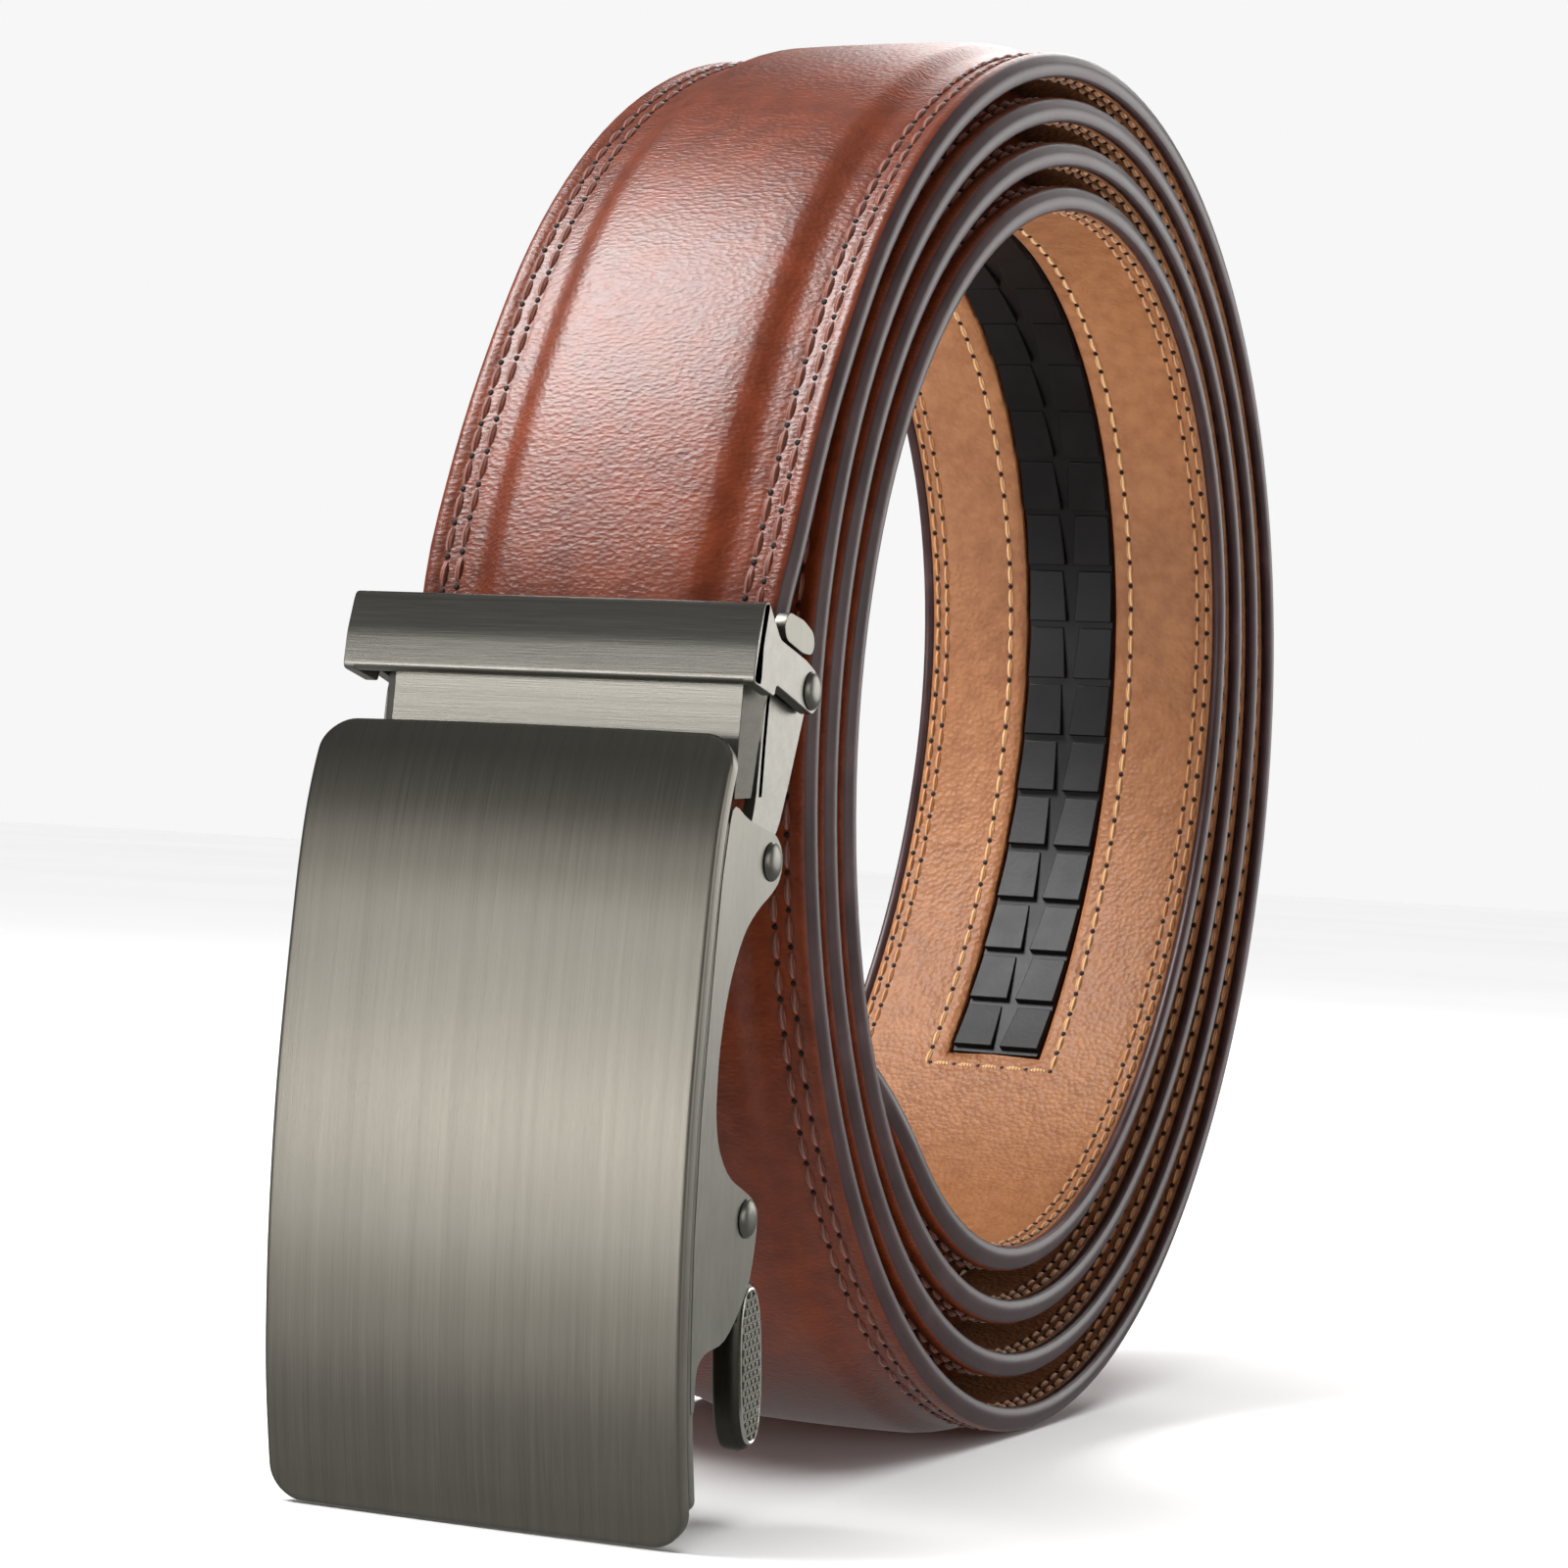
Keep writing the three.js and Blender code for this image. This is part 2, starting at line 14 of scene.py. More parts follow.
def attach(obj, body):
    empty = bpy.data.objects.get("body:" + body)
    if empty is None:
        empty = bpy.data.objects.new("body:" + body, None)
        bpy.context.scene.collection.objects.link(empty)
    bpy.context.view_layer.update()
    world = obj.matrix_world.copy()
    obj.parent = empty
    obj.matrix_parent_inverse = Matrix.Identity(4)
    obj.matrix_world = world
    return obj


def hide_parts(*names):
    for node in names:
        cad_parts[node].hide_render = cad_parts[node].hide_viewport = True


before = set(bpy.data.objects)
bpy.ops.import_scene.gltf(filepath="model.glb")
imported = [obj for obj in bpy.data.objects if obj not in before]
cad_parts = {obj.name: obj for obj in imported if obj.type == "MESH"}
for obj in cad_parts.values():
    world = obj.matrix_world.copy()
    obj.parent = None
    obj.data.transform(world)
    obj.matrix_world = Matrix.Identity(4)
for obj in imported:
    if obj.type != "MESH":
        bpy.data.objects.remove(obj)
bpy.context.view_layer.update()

# %% [markdown]
# The roll stands on the flattened bottom of its outermost turn. It would tip forward over its heavy
# buckle, so it leans until the buckle plate's lower edge touches the floor too. The lean is a turn about
# the coil's centre, and both the camera and the strap's route use it.

# %% The lean of the roll
CENTRE_HEIGHT = 0.06825
COIL_RADIUS = 0.0700
BUCKLE_LENGTH = 0.065
SHARE = BUCKLE_LENGTH / 100
HINGE_OUT = COIL_RADIUS + 0.0044
HINGE_UP = -4.15 * SHARE
PLATE_THICK = 0.0013
PLATE_CROWN = 0.00035
# the plate's outer face from the hinge pin: up along the buckle and out from it, in hundredths of the
# buckle's length
PLATE_CURVE = [
    (-82.92, 26.62), (-76.92, 27.23), (-66.15, 27.69), (-55.38, 27.23), (-43.85, 26.15), (-28.31, 23.85),
    (-9.23, 19.69), (0, 17.38), (7.08, 15.08), (13.54, 12), (17.23, 9.38),
]
CURVE_STEPS = 24                     # between two given points


def smooth_line(points, count):
    """Points at even spacing on a centripetal curve through the given ones."""
    p = np.array(points, float)
    p = np.vstack([2 * p[0] - p[1], p, 2 * p[-1] - p[-2]])
    out = []
    for a, b, c, d in zip(p[:-3], p[1:-2], p[2:-1], p[3:]):
        t1 = np.linalg.norm(b - a) ** 0.5
        t2 = t1 + np.linalg.norm(c - b) ** 0.5
        t3 = t2 + np.linalg.norm(d - c) ** 0.5
        for t in np.linspace(t1, t2, CURVE_STEPS, endpoint=False):
            ab = a + (b - a) * (t / t1)
            bc = b + (c - b) * ((t - t1) / (t2 - t1))
            cd = c + (d - c) * ((t - t2) / (t3 - t2))
            abc = ab + (bc - ab) * (t / t2)
            bcd = bc + (cd - bc) * ((t - t1) / (t3 - t1))
            out.append(abc + (bcd - abc) * ((t - t1) / (t2 - t1)))
    out = np.array(out + [p[-2]])
    run = np.concatenate([[0], np.cumsum(np.linalg.norm(np.diff(out, axis=0), axis=1))])
    even = np.linspace(0, run[-1], count)
    return np.stack([np.interp(even, run, out[:, k]) for k in range(2)], axis=1)


plate_line = smooth_line([(out * SHARE, up * SHARE) for up, out in PLATE_CURVE], 181)


def side_normals(line):
    """Unit normals of a line in the side view, to the right of its direction."""
    step = np.gradient(line, axis=0)
    step /= np.linalg.norm(step, axis=1)[:, None]
    return np.stack([step[:, 1], -step[:, 0]], axis=1)


plate_normals = side_normals(plate_line)
foot = plate_line[0] + plate_normals[0] * PLATE_CROWN + np.array([HINGE_OUT, HINGE_UP])
heel = plate_line[0] - plate_normals[0] * PLATE_THICK + np.array([HINGE_OUT, HINGE_UP])
lean = min(math.atan2(p[1], p[0]) + math.asin(CENTRE_HEIGHT / math.hypot(*p)) for p in (foot, heel))


def settle(out, up):
    """Row Y and Z of a point given from the coil's centre, out towards the buckle and up."""
    c, s = math.cos(lean), math.sin(lean)
    return -out * c - up * s, -out * s + up * c + CENTRE_HEIGHT


def from_hinge(out, up):
    """Row Y and Z of a point given from the hinge pin."""
    return settle(HINGE_OUT + out, HINGE_UP + up)


print("the roll leans", round(math.degrees(lean), 2), "degrees")

# %% [markdown]
# The camera stands where the photographer's did: to the buckle's right and a little above it. Its place
# was found against the unleaned roll, so it leans with the roll and sees it from the same side.

# %% Camera
CAMERA_AZIMUTH, CAMERA_HEIGHT, CAMERA_ROLL = 24.226, 6.46, -0.089   # degrees
CAMERA_DISTANCE = 0.3898
CAMERA_LENS = 94.64                                                 # mm, on a 36 mm square sensor
AIM = (0.0, -0.029, -0.0018)                                        # from the coil's centre

azimuth, height, roll = (math.radians(v) for v in (CAMERA_AZIMUTH, CAMERA_HEIGHT, CAMERA_ROLL))
back = Vector((math.sin(azimuth) * math.cos(height), -math.cos(azimuth) * math.cos(height), math.sin(height)))
level = Vector((math.cos(azimuth), math.sin(azimuth), 0))
upright = back.cross(level)
camera_right = level * math.cos(roll) + upright * math.sin(roll)
camera_up = upright * math.cos(roll) - level * math.sin(roll)
camera_data = bpy.data.cameras.new("camera")
camera_data.sensor_width, camera_data.lens, camera_data.clip_start = 36, CAMERA_LENS, 0.01
camera = bpy.data.objects.new("camera", camera_data)
bpy.context.scene.collection.objects.link(camera)
spot = back * CAMERA_DISTANCE
axes = zip(camera_right, camera_up, back, spot)
pose = Matrix([*axes, (0, 0, 0, 1)])
camera.matrix_world = (Matrix.Translation((0, 0, CENTRE_HEIGHT)) @ Matrix.Rotation(lean, 4, "X")
                       @ Matrix.Translation(AIM) @ pose)
bpy.context.scene.camera = camera
bpy.context.scene.view_settings.view_transform = "Standard"
print("camera at", [round(v, 3) for v in camera.matrix_world.translation])

# %% [markdown]
# Every surface gets its own small graph of shader nodes. One helper makes the nodes and wires them, so
# that each finish below reads as a short recipe: a pattern, a colour ramp, a roughness and a bump.

# %% Material helpers


def srgb(red, green, blue):
    """A colour as seen on screen, 0 to 255, turned into the linear value that shaders use."""
    shown = (v / 255 for v in (red, green, blue))
    return tuple(((v + 0.055) / 1.055) ** 2.4 if v > 0.04045 else v / 12.92 for v in shown) + (1,)


class Finish:
    """A principled shader with helpers that add pattern nodes to it."""

    def __init__(self, name, **values):
        self.material = bpy.data.materials.new(name)
        self.material.use_nodes = True
        self.tree = self.material.node_tree
        self.shader = self.tree.nodes["Principled BSDF"]
        for socket, value in values.items():
            self.shader.inputs[socket.replace("_", " ")].default_value = value
        self.spot = self.node("ShaderNodeTexCoord").outputs["Object"]

    def node(self, kind, **inputs):
        node = self.tree.nodes.new(kind)
        for socket, value in inputs.items():
            self.feed(node.inputs[socket.replace("_", " ")], value)
        return node

    def feed(self, socket, value):
        if isinstance(value, bpy.types.NodeSocket):
            self.tree.links.new(value, socket)
        else:
            socket.default_value = value

    def stretched(self, scale):
        return self.node("ShaderNodeMapping", Vector=self.spot, Scale=scale).outputs["Vector"]

    def noise(self, scale, detail=3, rough=0.5, vector=None):
        return self.node("ShaderNodeTexNoise", Vector=vector or self.spot, Scale=scale, Detail=detail,
                         Roughness=rough).outputs["Fac"]

    def cells(self, scale, vector=None):
        return self.node("ShaderNodeTexVoronoi", Vector=vector or self.spot, Scale=scale).outputs["Distance"]

    def ramp(self, value, *stops):
        node = self.node("ShaderNodeValToRGB", Fac=value)
        while len(node.color_ramp.elements) < len(stops):
            node.color_ramp.elements.new(0.5)
        for element, (at, colour) in zip(node.color_ramp.elements, stops):
            element.position, element.color = at, colour
        return node.outputs["Color"]

    def level(self, value, low, high):
        """A value from 0 to 1 spread between low and high."""
        return self.node("ShaderNodeMapRange", Value=value, To_Min=low, To_Max=high).outputs["Result"]

    def mix(self, factor, one, other):
        node = self.tree.nodes.new("ShaderNodeMix")
        node.data_type = "RGBA"
        for socket, value in zip((0, 6, 7), (factor, one, other)):      # its colours are sockets 6 and 7
            self.feed(node.inputs[socket], value)
        return node.outputs[2]

    def bump(self, height, distance, strength, normal=None):
        node = self.node("ShaderNodeBump", Height=height, Distance=distance, Strength=strength)
        if normal is not None:
            self.feed(node.inputs["Normal"], normal)
        return node.outputs["Normal"]

    def set(self, **values):
        for socket, value in values.items():
            self.feed(self.shader.inputs[socket.replace("_", " ")], value)
        return self.material


print("material helpers ready")

# %% [markdown]
# The cover is smooth calf leather, waxed and polished, so its grain is fine and shallow: pebbles under a
# millimetre across, with a few fine creases. It is darker where polish gathers and redder where it thins.

# %% Cover leather
GRAIN = 2600          # pebbles a metre

cover = Finish("cover_leather", Coat_Weight=0.25, Coat_Roughness=0.28, Specular_IOR_Level=0.35)
patches = cover.noise(38, 4, 0.55)
mottle = cover.noise(420, 3)
tone = cover.ramp(patches, (0.3, srgb(84, 32, 9)), (0.55, srgb(106, 43, 14)), (0.78, srgb(124, 55, 20)))
tone = cover.mix(0.3, tone, cover.ramp(mottle, (0.35, srgb(80, 27, 9)), (0.65, srgb(134, 57, 24))))
pebbles = cover.cells(1.0, cover.stretched((GRAIN * 0.6, GRAIN, GRAIN)))
creases = cover.noise(1.0, 5, 0.65, cover.stretched((1000, GRAIN, GRAIN)))
grain = cover.bump(pebbles, 0.00008, 0.5)
grain = cover.bump(creases, 0.00011, 0.5, grain)
cover_leather = cover.set(Base_Color=tone, Roughness=cover.level(mottle, 0.33, 0.44),
                          Normal=grain, Coat_Normal=grain)

# %% [markdown]
# The cut edges of the strap are sealed with a thick dark paint that dries to a satin, rounded bead.

# %% Edge paint
paint = Finish("edge_paint", Coat_Weight=0.15, Coat_Roughness=0.4, Specular_IOR_Level=0.4)
wear = paint.noise(160, 4, 0.6)
paint_tone = paint.ramp(wear, (0.3, srgb(48, 28, 28)), (0.6, srgb(66, 42, 43)), (0.8, srgb(84, 58, 60)))
edge_paint = paint.set(Base_Color=paint_tone, Roughness=paint.level(wear, 0.34, 0.48),
                       Normal=paint.bump(paint.noise(700, 3), 0.00005, 0.4))

# %% [markdown]
# The lining is undyed tan leather with a matt, slightly hairy grain. It takes up light softly.

# %% Lining leather
lining = Finish("lining_leather", Specular_IOR_Level=0.4)
tan_patches = lining.noise(45, 4, 0.6)
tan_mottle = lining.noise(520, 4, 0.6)
tan = lining.ramp(tan_patches, (0.3, srgb(134, 85, 50)), (0.55, srgb(148, 97, 60)), (0.8, srgb(162, 111, 72)))
tan = lining.mix(0.3, tan, lining.ramp(tan_mottle, (0.35, srgb(138, 84, 46)), (0.65, srgb(188, 130, 84))))
tan_grain = lining.bump(lining.cells(1700), 0.00018, 0.6)
tan_grain = lining.bump(lining.noise(1500, 4, 0.6), 0.00018, 0.55, tan_grain)
lining_leather = lining.set(Base_Color=tan, Roughness=lining.level(tan_mottle, 0.42, 0.56), Normal=tan_grain)

# %% [markdown]
# Three threads hold the strap: a copper-brown one in the cover, a paler one in the lining, and the palest
# round the track's window. Twisted thread shows as fine slanting lines across each stitch: its colour is
# painted shade in the grooves between strands and painted light on the strands.

# %% Threads


def thread_finish(name, dark, light):
    thread = Finish(name, Roughness=0.55, Sheen_Weight=0.3)
    twist = thread.node("ShaderNodeTexWave", Vector=thread.spot, Scale=900, Distortion=1.5, Detail=1)
    # darker in the grooves between strands as painted shade, lighter on the strands as painted light
    shade = thread.ramp(twist.outputs["Fac"], (0.2, dark), (0.8, light))
    return thread.set(Base_Color=shade, Normal=thread.bump(twist.outputs["Fac"], 0.0001, 0.5))


cover_thread = thread_finish("cover_thread", srgb(84, 34, 20), srgb(140, 72, 46))
lining_thread = thread_finish("lining_thread", srgb(150, 92, 48), srgb(206, 150, 94))
window_thread = thread_finish("window_thread", srgb(176, 124, 74), srgb(232, 188, 134))
# the needle holes are near black: painted shade for the dark inside of each hole
hole_shade = Finish("needle_hole_painted_shade", Roughness=0.8)
hole_shade = hole_shade.set(Base_Color=hole_shade.ramp(hole_shade.noise(900), (0.3, srgb(16, 9, 7)),
                                                       (0.7, srgb(34, 19, 13))))
print("leather and thread finishes ready")

# %% [markdown]
# The strap follows one long spiral. A shrinking circle with a few slow waves gives each turn the slightly
# squeezed form that a real roll has, and a short curve leads from the spiral into the buckle. Everything
# sewn or glued to the strap is placed by its distance along this route, so it all stays together.

# %% The strap's route
STRAP_WIDTH = 0.035
LINING, GLUE_GAP, COVER_EDGE = 0.0010, 0.0002, 0.0011
PAD_RISE, PAD_WIDTH = 0.0014, 0.0246
RIM = LINING + GLUE_GAP + COVER_EDGE
TIP_LENGTH = 0.024
TURN_PITCH = 0.00509
# waves of the coil: how many lobes, their size at the first turn and how much that grows each turn
COIL_LOBES = [
    (1, -0.0020, -0.00131, 0.00097, 0.00074),
    (2, -0.00043, -0.00007, -0.00008, -0.00063),
    (3, -0.00030, 0.00059, 0.0, 0.0),
]
SPIRAL_START, TIP_ANGLE = 45, 1421            # degrees of travel
# from the clamp to the spiral: out and up from the hinge pin, in hundredths of the buckle's length
LEAD = [(-4.62, 7.69), (-5.23, 14.62), (-6.77, 22.31), (-9.54, 31.54), (-16.31, 44.62), (-25.23, 58.77)]
SIDE_ROOM, WALL, ARM_WALL, SLIDE_GAP = 0.0007, 0.0011, 0.0010, 0.00025
# across the buckle: the outer ears, the clamp's arms inside them, and the strap between the arms
EAR_INNER = STRAP_WIDTH / 2 + SIDE_ROOM
EAR_OUTER = EAR_INNER + WALL
ARM_OUTER = EAR_INNER - SLIDE_GAP
ARM_INNER = ARM_OUTER - ARM_WALL
CLAMPED_WIDTH = 2 * (ARM_INNER - SLIDE_GAP)
CLAMPED_TO, WIDENS_OVER = 0.008, 0.014        # the strap is narrow up to here, then widens over this run
TIP_SHAPE, TIP_HALF = 2.6, 0.0006             # how full the rounded tip is, and its least half width


def spiral_point(angle):
    """Row Y and Z of the coil at an angle of travel, in degrees from the buckle's side."""
    turns, radius = angle / 360, COIL_RADIUS - TURN_PITCH * angle / 360
    for lobe, c, s, c_turn, s_turn in COIL_LOBES:
        a = math.radians(lobe * angle)
        radius += (c + c_turn * turns) * math.cos(a) + (s + s_turn * turns) * math.sin(a)
    return settle(radius * math.cos(math.radians(angle)), radius * math.sin(math.radians(angle)))


lead_points = [from_hinge(out * SHARE, up * SHARE) for out, up in LEAD]
lead_line = smooth_line(lead_points + [spiral_point(SPIRAL_START + v) for v in (0, 9, 18)], 120)
spiral_angles = np.arange(SPIRAL_START, TIP_ANGLE + 0.01, 0.5)
spiral_line = np.array([spiral_point(v) for v in spiral_angles])
join = int(np.argmin(np.linalg.norm(lead_line - spiral_line[0], axis=1)))
route = np.vstack([lead_line[:join], spiral_line])
route_run = np.concatenate([[0], np.cumsum(np.linalg.norm(np.diff(route, axis=0), axis=1))])
angle_run = route_run[join:]
STRAP_LENGTH = route_run[-1]
even_run = np.arange(0, STRAP_LENGTH + 0.002, 0.0005)


def along(values, s):
    """A value of the route at distance s, carried straight on past the tip."""
    over = np.maximum(0, s - STRAP_LENGTH)
    slope = (values[-1] - values[-2]) / (route_run[-1] - route_run[-2])
    return np.interp(s, route_run, values) + over * slope


even_line = np.stack([along(route[:, 0], even_run), along(route[:, 1], even_run)], axis=1)
even_step = np.gradient(even_line, axis=0)
even_step /= np.linalg.norm(even_step, axis=1)[:, None]
even_normal = np.stack([-even_step[:, 1], even_step[:, 0]], axis=1)


def run_at(angle):
    """Distance along the strap at an angle of the coil, in degrees of travel."""
    return float(np.interp(angle, spiral_angles, angle_run))


def on_strap(s, x, height, floor=0.0):
    """Row points at distance s along the strap, x across it, and height over the lining's face."""
    s, x, height = np.broadcast_arrays(np.asarray(s, float), x, height)
    spot = [np.interp(s, even_run, even_line[:, k]) for k in range(2)]
    normal = [np.interp(s, even_run, even_normal[:, k]) for k in range(2)]
    return np.stack([x, spot[0] + normal[0] * (height - RIM),
                     np.maximum(floor, spot[1] + normal[1] * (height - RIM))], axis=-1)


def half_width(s):
    """Half the strap's width: a little narrower in the clamp, rounded off at the tip."""
    s = np.asarray(s, float)
    narrow = CLAMPED_WIDTH + (STRAP_WIDTH - CLAMPED_WIDTH) * np.clip((s - CLAMPED_TO) / WIDENS_OVER, 0, 1)
    u = np.clip(1 - (STRAP_LENGTH - s) / TIP_LENGTH, 0, 1)
    return np.maximum(TIP_HALF, narrow / 2 * np.sqrt(np.maximum(0, 1 - u ** TIP_SHAPE)))


print("strap length", round(STRAP_LENGTH, 3), "m")

# %% [markdown]
# A mesh helper takes points and faces as number arrays and makes a smooth-shaded object from them. It
# merges points that fall together, drops faces without area, and turns all faces outwards. Most shapes
# are lofts: a stack of closed rings with faces between them.

# %% Mesh helpers
MERGE = 2e-7


def make_piece(name, points, faces, materials, body, slot, face_material=None, sharp_above=None):
    mesh = bpy.data.meshes.new(name)
    points = np.asarray(points, float).reshape(-1, 3)
    mesh.from_pydata(points.tolist(), [], [list(map(int, face)) for face in faces])
    for material in materials:
        mesh.materials.append(material)
    if face_material is not None:
        mesh.polygons.foreach_set("material_index", np.asarray(face_material, np.int32))
    mesh.validate()
    obj = bpy.data.objects.new(name, mesh)
    bpy.context.scene.collection.objects.link(obj)
    work = bmesh.new()
    work.from_mesh(mesh)
    bmesh.ops.remove_doubles(work, verts=work.verts, dist=MERGE)
    bmesh.ops.dissolve_degenerate(work, edges=work.edges, dist=MERGE / 2)
    bmesh.ops.recalc_face_normals(work, faces=work.faces)
    work.to_mesh(mesh)
    work.free()
    mesh.shade_smooth()
    if sharp_above is not None:
        mesh.set_sharp_from_angle(angle=math.radians(sharp_above))
    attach(obj, body)
    print(name, len(mesh.polygons), "faces")
    return obj


def loft(rings, closed_ends=True):
    """Faces over a stack of closed rings, all with the same number of points."""
    rings = np.asarray(rings)
    n, m = rings.shape[:2]
    grid = np.arange(n * m).reshape(n, m)
    beside = np.roll(grid, -1, axis=1)
    faces = np.stack([grid[:-1], beside[:-1], beside[1:], grid[1:]], axis=-1).reshape(-1, 4).tolist()
    if closed_ends:
        faces += [grid[0, ::-1].tolist(), grid[-1].tolist()]
    return rings.reshape(-1, 3), faces


def combine(shells):
    """Points and faces of several shells as one mesh."""
    points, faces, offset = [], [], 0
    for p, f in shells:
        p = np.asarray(p, float).reshape(-1, 3)
        points.append(p)
        faces += [[v + offset for v in face] for face in f]
        offset += len(p)
    return np.concatenate(points), faces


def round_over(distance, radius):
    """How far a face drops at a distance from its border, for a quarter-round edge."""
    inward = 1 - np.clip(distance / radius, 0, 1)
    return radius * (1 - np.sqrt(np.clip(1 - inward ** 2, 0, 1)))


print("mesh helpers ready")

# %% [markdown]
# The cover is a thin leather turned over a soft filler. From the edge inwards there is a rounded painted
# rim, a flat margin pulled down under two rows of stitches, and a padded middle with a soft crown. The
# height comes from the distance to the outline, so the margin runs round the tip as a sewn one does.

# %% Height of the cover
ROW_OUTER, ROW_INNER = 0.0020, 0.0034         # stitch rows, from the edge
GROOVE_DEPTH, GROOVE_HALF = 0.00022, 0.0006   # pressed in by the stitches
MARGIN_BULGE = 0.00012                        # between the edge and the outer row
EDGE_ROUND, EDGE_DROP = 0.0007, 0.9           # the rim's radius, and how much of it the face drops
PAD_FOOT = (STRAP_WIDTH - PAD_WIDTH) / 2      # from the edge
PAD_SLOPE = 0.0030
CROWN_SHARE = 0.22                            # of the padding's rise that is gained after its slope
PAD_AT_CLAMP, PAD_GROWS_OVER = 0.72, 0.06     # the padding is pressed thinner in the clamp
TIP_ZONE = 0.02                               # before the tip, where its curve is the nearest outline
outline_s = np.concatenate([np.arange(0, STRAP_LENGTH - TIP_LENGTH, 0.002),
                            STRAP_LENGTH - TIP_LENGTH * (1 - np.sin(np.linspace(0, math.pi / 2, 60)))])
outline_half = half_width(outline_s)


def edge_distance(s, x):
    """Shortest way in the flat from a point of the strap to its outline."""
    s, x = np.broadcast_arrays(np.atleast_1d(np.asarray(s, float)), x)
    result = half_width(s) - np.abs(x)
    near = s > STRAP_LENGTH - TIP_LENGTH - TIP_ZONE
    if near.any():
        late = outline_s > STRAP_LENGTH - TIP_LENGTH - 2 * TIP_ZONE
        gap = np.hypot(s[near][:, None] - outline_s[late], np.abs(x[near])[:, None] - outline_half[late])
        result[near] = np.minimum(result[near], gap.min(axis=1))
    return np.maximum(0, result)


def cover_height(s, x):
    """Height of the cover's face over the lining's face."""
    d = edge_distance(s, x)
    t = np.clip((d - PAD_FOOT) / PAD_SLOPE, 0, 1)
    rise = PAD_RISE * np.clip(PAD_AT_CLAMP + s / PAD_GROWS_OVER, 0, 1) * (t * t * (3 - 2 * t))
    crown = np.clip(1 - (np.abs(x) / (PAD_WIDTH / 2)) ** 2, 0, 1)
    rise = rise * (1 - CROWN_SHARE + CROWN_SHARE * crown)
    groove = sum(np.exp(-((d - row) / GROOVE_HALF) ** 2) for row in (ROW_OUTER, ROW_INNER))
    bulge = MARGIN_BULGE * np.sin(np.clip(d / ROW_OUTER, 0, 1) * math.pi)
    return RIM + rise - GROOVE_DEPTH * groove + bulge - round_over(d, EDGE_ROUND) * EDGE_DROP


def outline_normal(s):
    """Direction out of the outline in the flat, as its parts along and across the strap."""
    slope = (half_width(s + 1e-4) - half_width(s - 1e-4)) / 2e-4
    slope = np.where(s > STRAP_LENGTH - 2e-4, -50, slope)
    length = np.hypot(1, slope)
    return -slope / length, 1 / length


print("padding rises", PAD_RISE * 1000, "mm over the margin")

# %% [markdown]
# The cover's section is one closed ring: its face, a painted bead down each edge, and the underside that
# is glued to the lining. The ring is swept along the route, in shorter steps round the tip.

# %% Strap cover
UNDERSIDE = LINING + GLUE_GAP
LIP = 0.0009                                  # painted rim that shows beside the lining
BEAD_BULGE, BEAD_LOW = 0.00022, 0.00008
LEAST_HALF = 0.0002                           # of any part of a ring, at the very tip
ROW_STEP = 0.0030
EDGE_STEPS = [0, 0.00012, 0.0003, 0.0006, 0.0010, 0.0015, 0.0020, 0.0025, 0.0029, 0.0034, 0.0039, 0.0045,
              0.0052, 0.0060, 0.0068, 0.0076, 0.0085, 0.0105, 0.0135]
tip_rows = STRAP_LENGTH - TIP_LENGTH * (1 - np.sin(np.linspace(0, math.pi / 2, 34)))
cover_rows = np.concatenate([np.arange(0, STRAP_LENGTH - TIP_LENGTH, ROW_STEP), tip_rows])
columns = 1 - np.array(EDGE_STEPS) / (STRAP_WIDTH / 2)
columns = np.concatenate([columns, [0], -columns[::-1]])
# the bead's section, out from the edge and up from the lining's face
bead = [(BEAD_BULGE * math.sin(t * math.pi), BEAD_LOW + (RIM - EDGE_ROUND * EDGE_DROP) * (1 - t))
        for t in np.linspace(0.12, 1, 8)]
bead += [(-0.00035, -0.00002), (-LIP, 0.00018), (-LIP - 0.0001, UNDERSIDE)]

cover_rings = []
for s in cover_rows:
    half = float(half_width(s))
    n_s, n_x = outline_normal(s)
    left, right = (np.array([on_strap(s + out * n_s, side * max(LEAST_HALF, half + out * n_x), h)
                             for out, h in bead]) for side in (-1, 1))
    face_x = columns * half
    under_x = np.linspace(-1, 1, 5)[1:-1] * max(LEAST_HALF, half - LIP - 0.0001)
    cover_rings.append(np.vstack([on_strap(s, face_x, cover_height(s, face_x)), left,
                                  on_strap(s, under_x, UNDERSIDE), right[::-1]]))
ring_size = len(cover_rings[0])
is_paint = np.zeros(ring_size, bool)
is_paint[:2] = True
is_paint[len(columns) - 2:len(columns) + len(bead) - 1] = True
is_paint[ring_size - len(bead):] = True
paint_faces = np.concatenate([np.tile(is_paint, len(cover_rings) - 1), [0, 1]])
strap_skin = make_piece("strap_cover_skin", *loft(cover_rings), [cover_leather, edge_paint], "strap",
                        "cover_leather", paint_faces)
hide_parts("strap_cover")

# %% [markdown]
# The lining is one flat sheet of leather glued inside the cover, with a long window cut in it for the
# track. Its face lies at a height of about 0. Furrows under the stitches and pulled-in edges stand above
# that, since heights grow from the lining towards the cover.

# %% Height of the lining
WINDOW_FROM, WINDOW_TO = 975, 1315            # degrees of travel
WINDOW_HALF, WINDOW_ZONE = 0.0053, 0.004      # half its width, and where its ends begin to count
LINING_EDGE = 0.0010                          # from the strap's edge to the lining's
LINING_ROWS = (0.0016, 0.0027)                # stitch rows, from the strap's edge
WINDOW_ROW = 0.0018                           # stitch row round the window, from its edge
FACE_LIFT = 0.00003                           # keeps the face just off the solid model's
FURROW_DEPTH, FURROW_HALF = 0.00012, 0.0005
PULL_OVER, WINDOW_PULL, EDGE_PULL = 0.0006, 0.0003, 0.00025
window_start, window_end = run_at(WINDOW_FROM), run_at(WINDOW_TO)


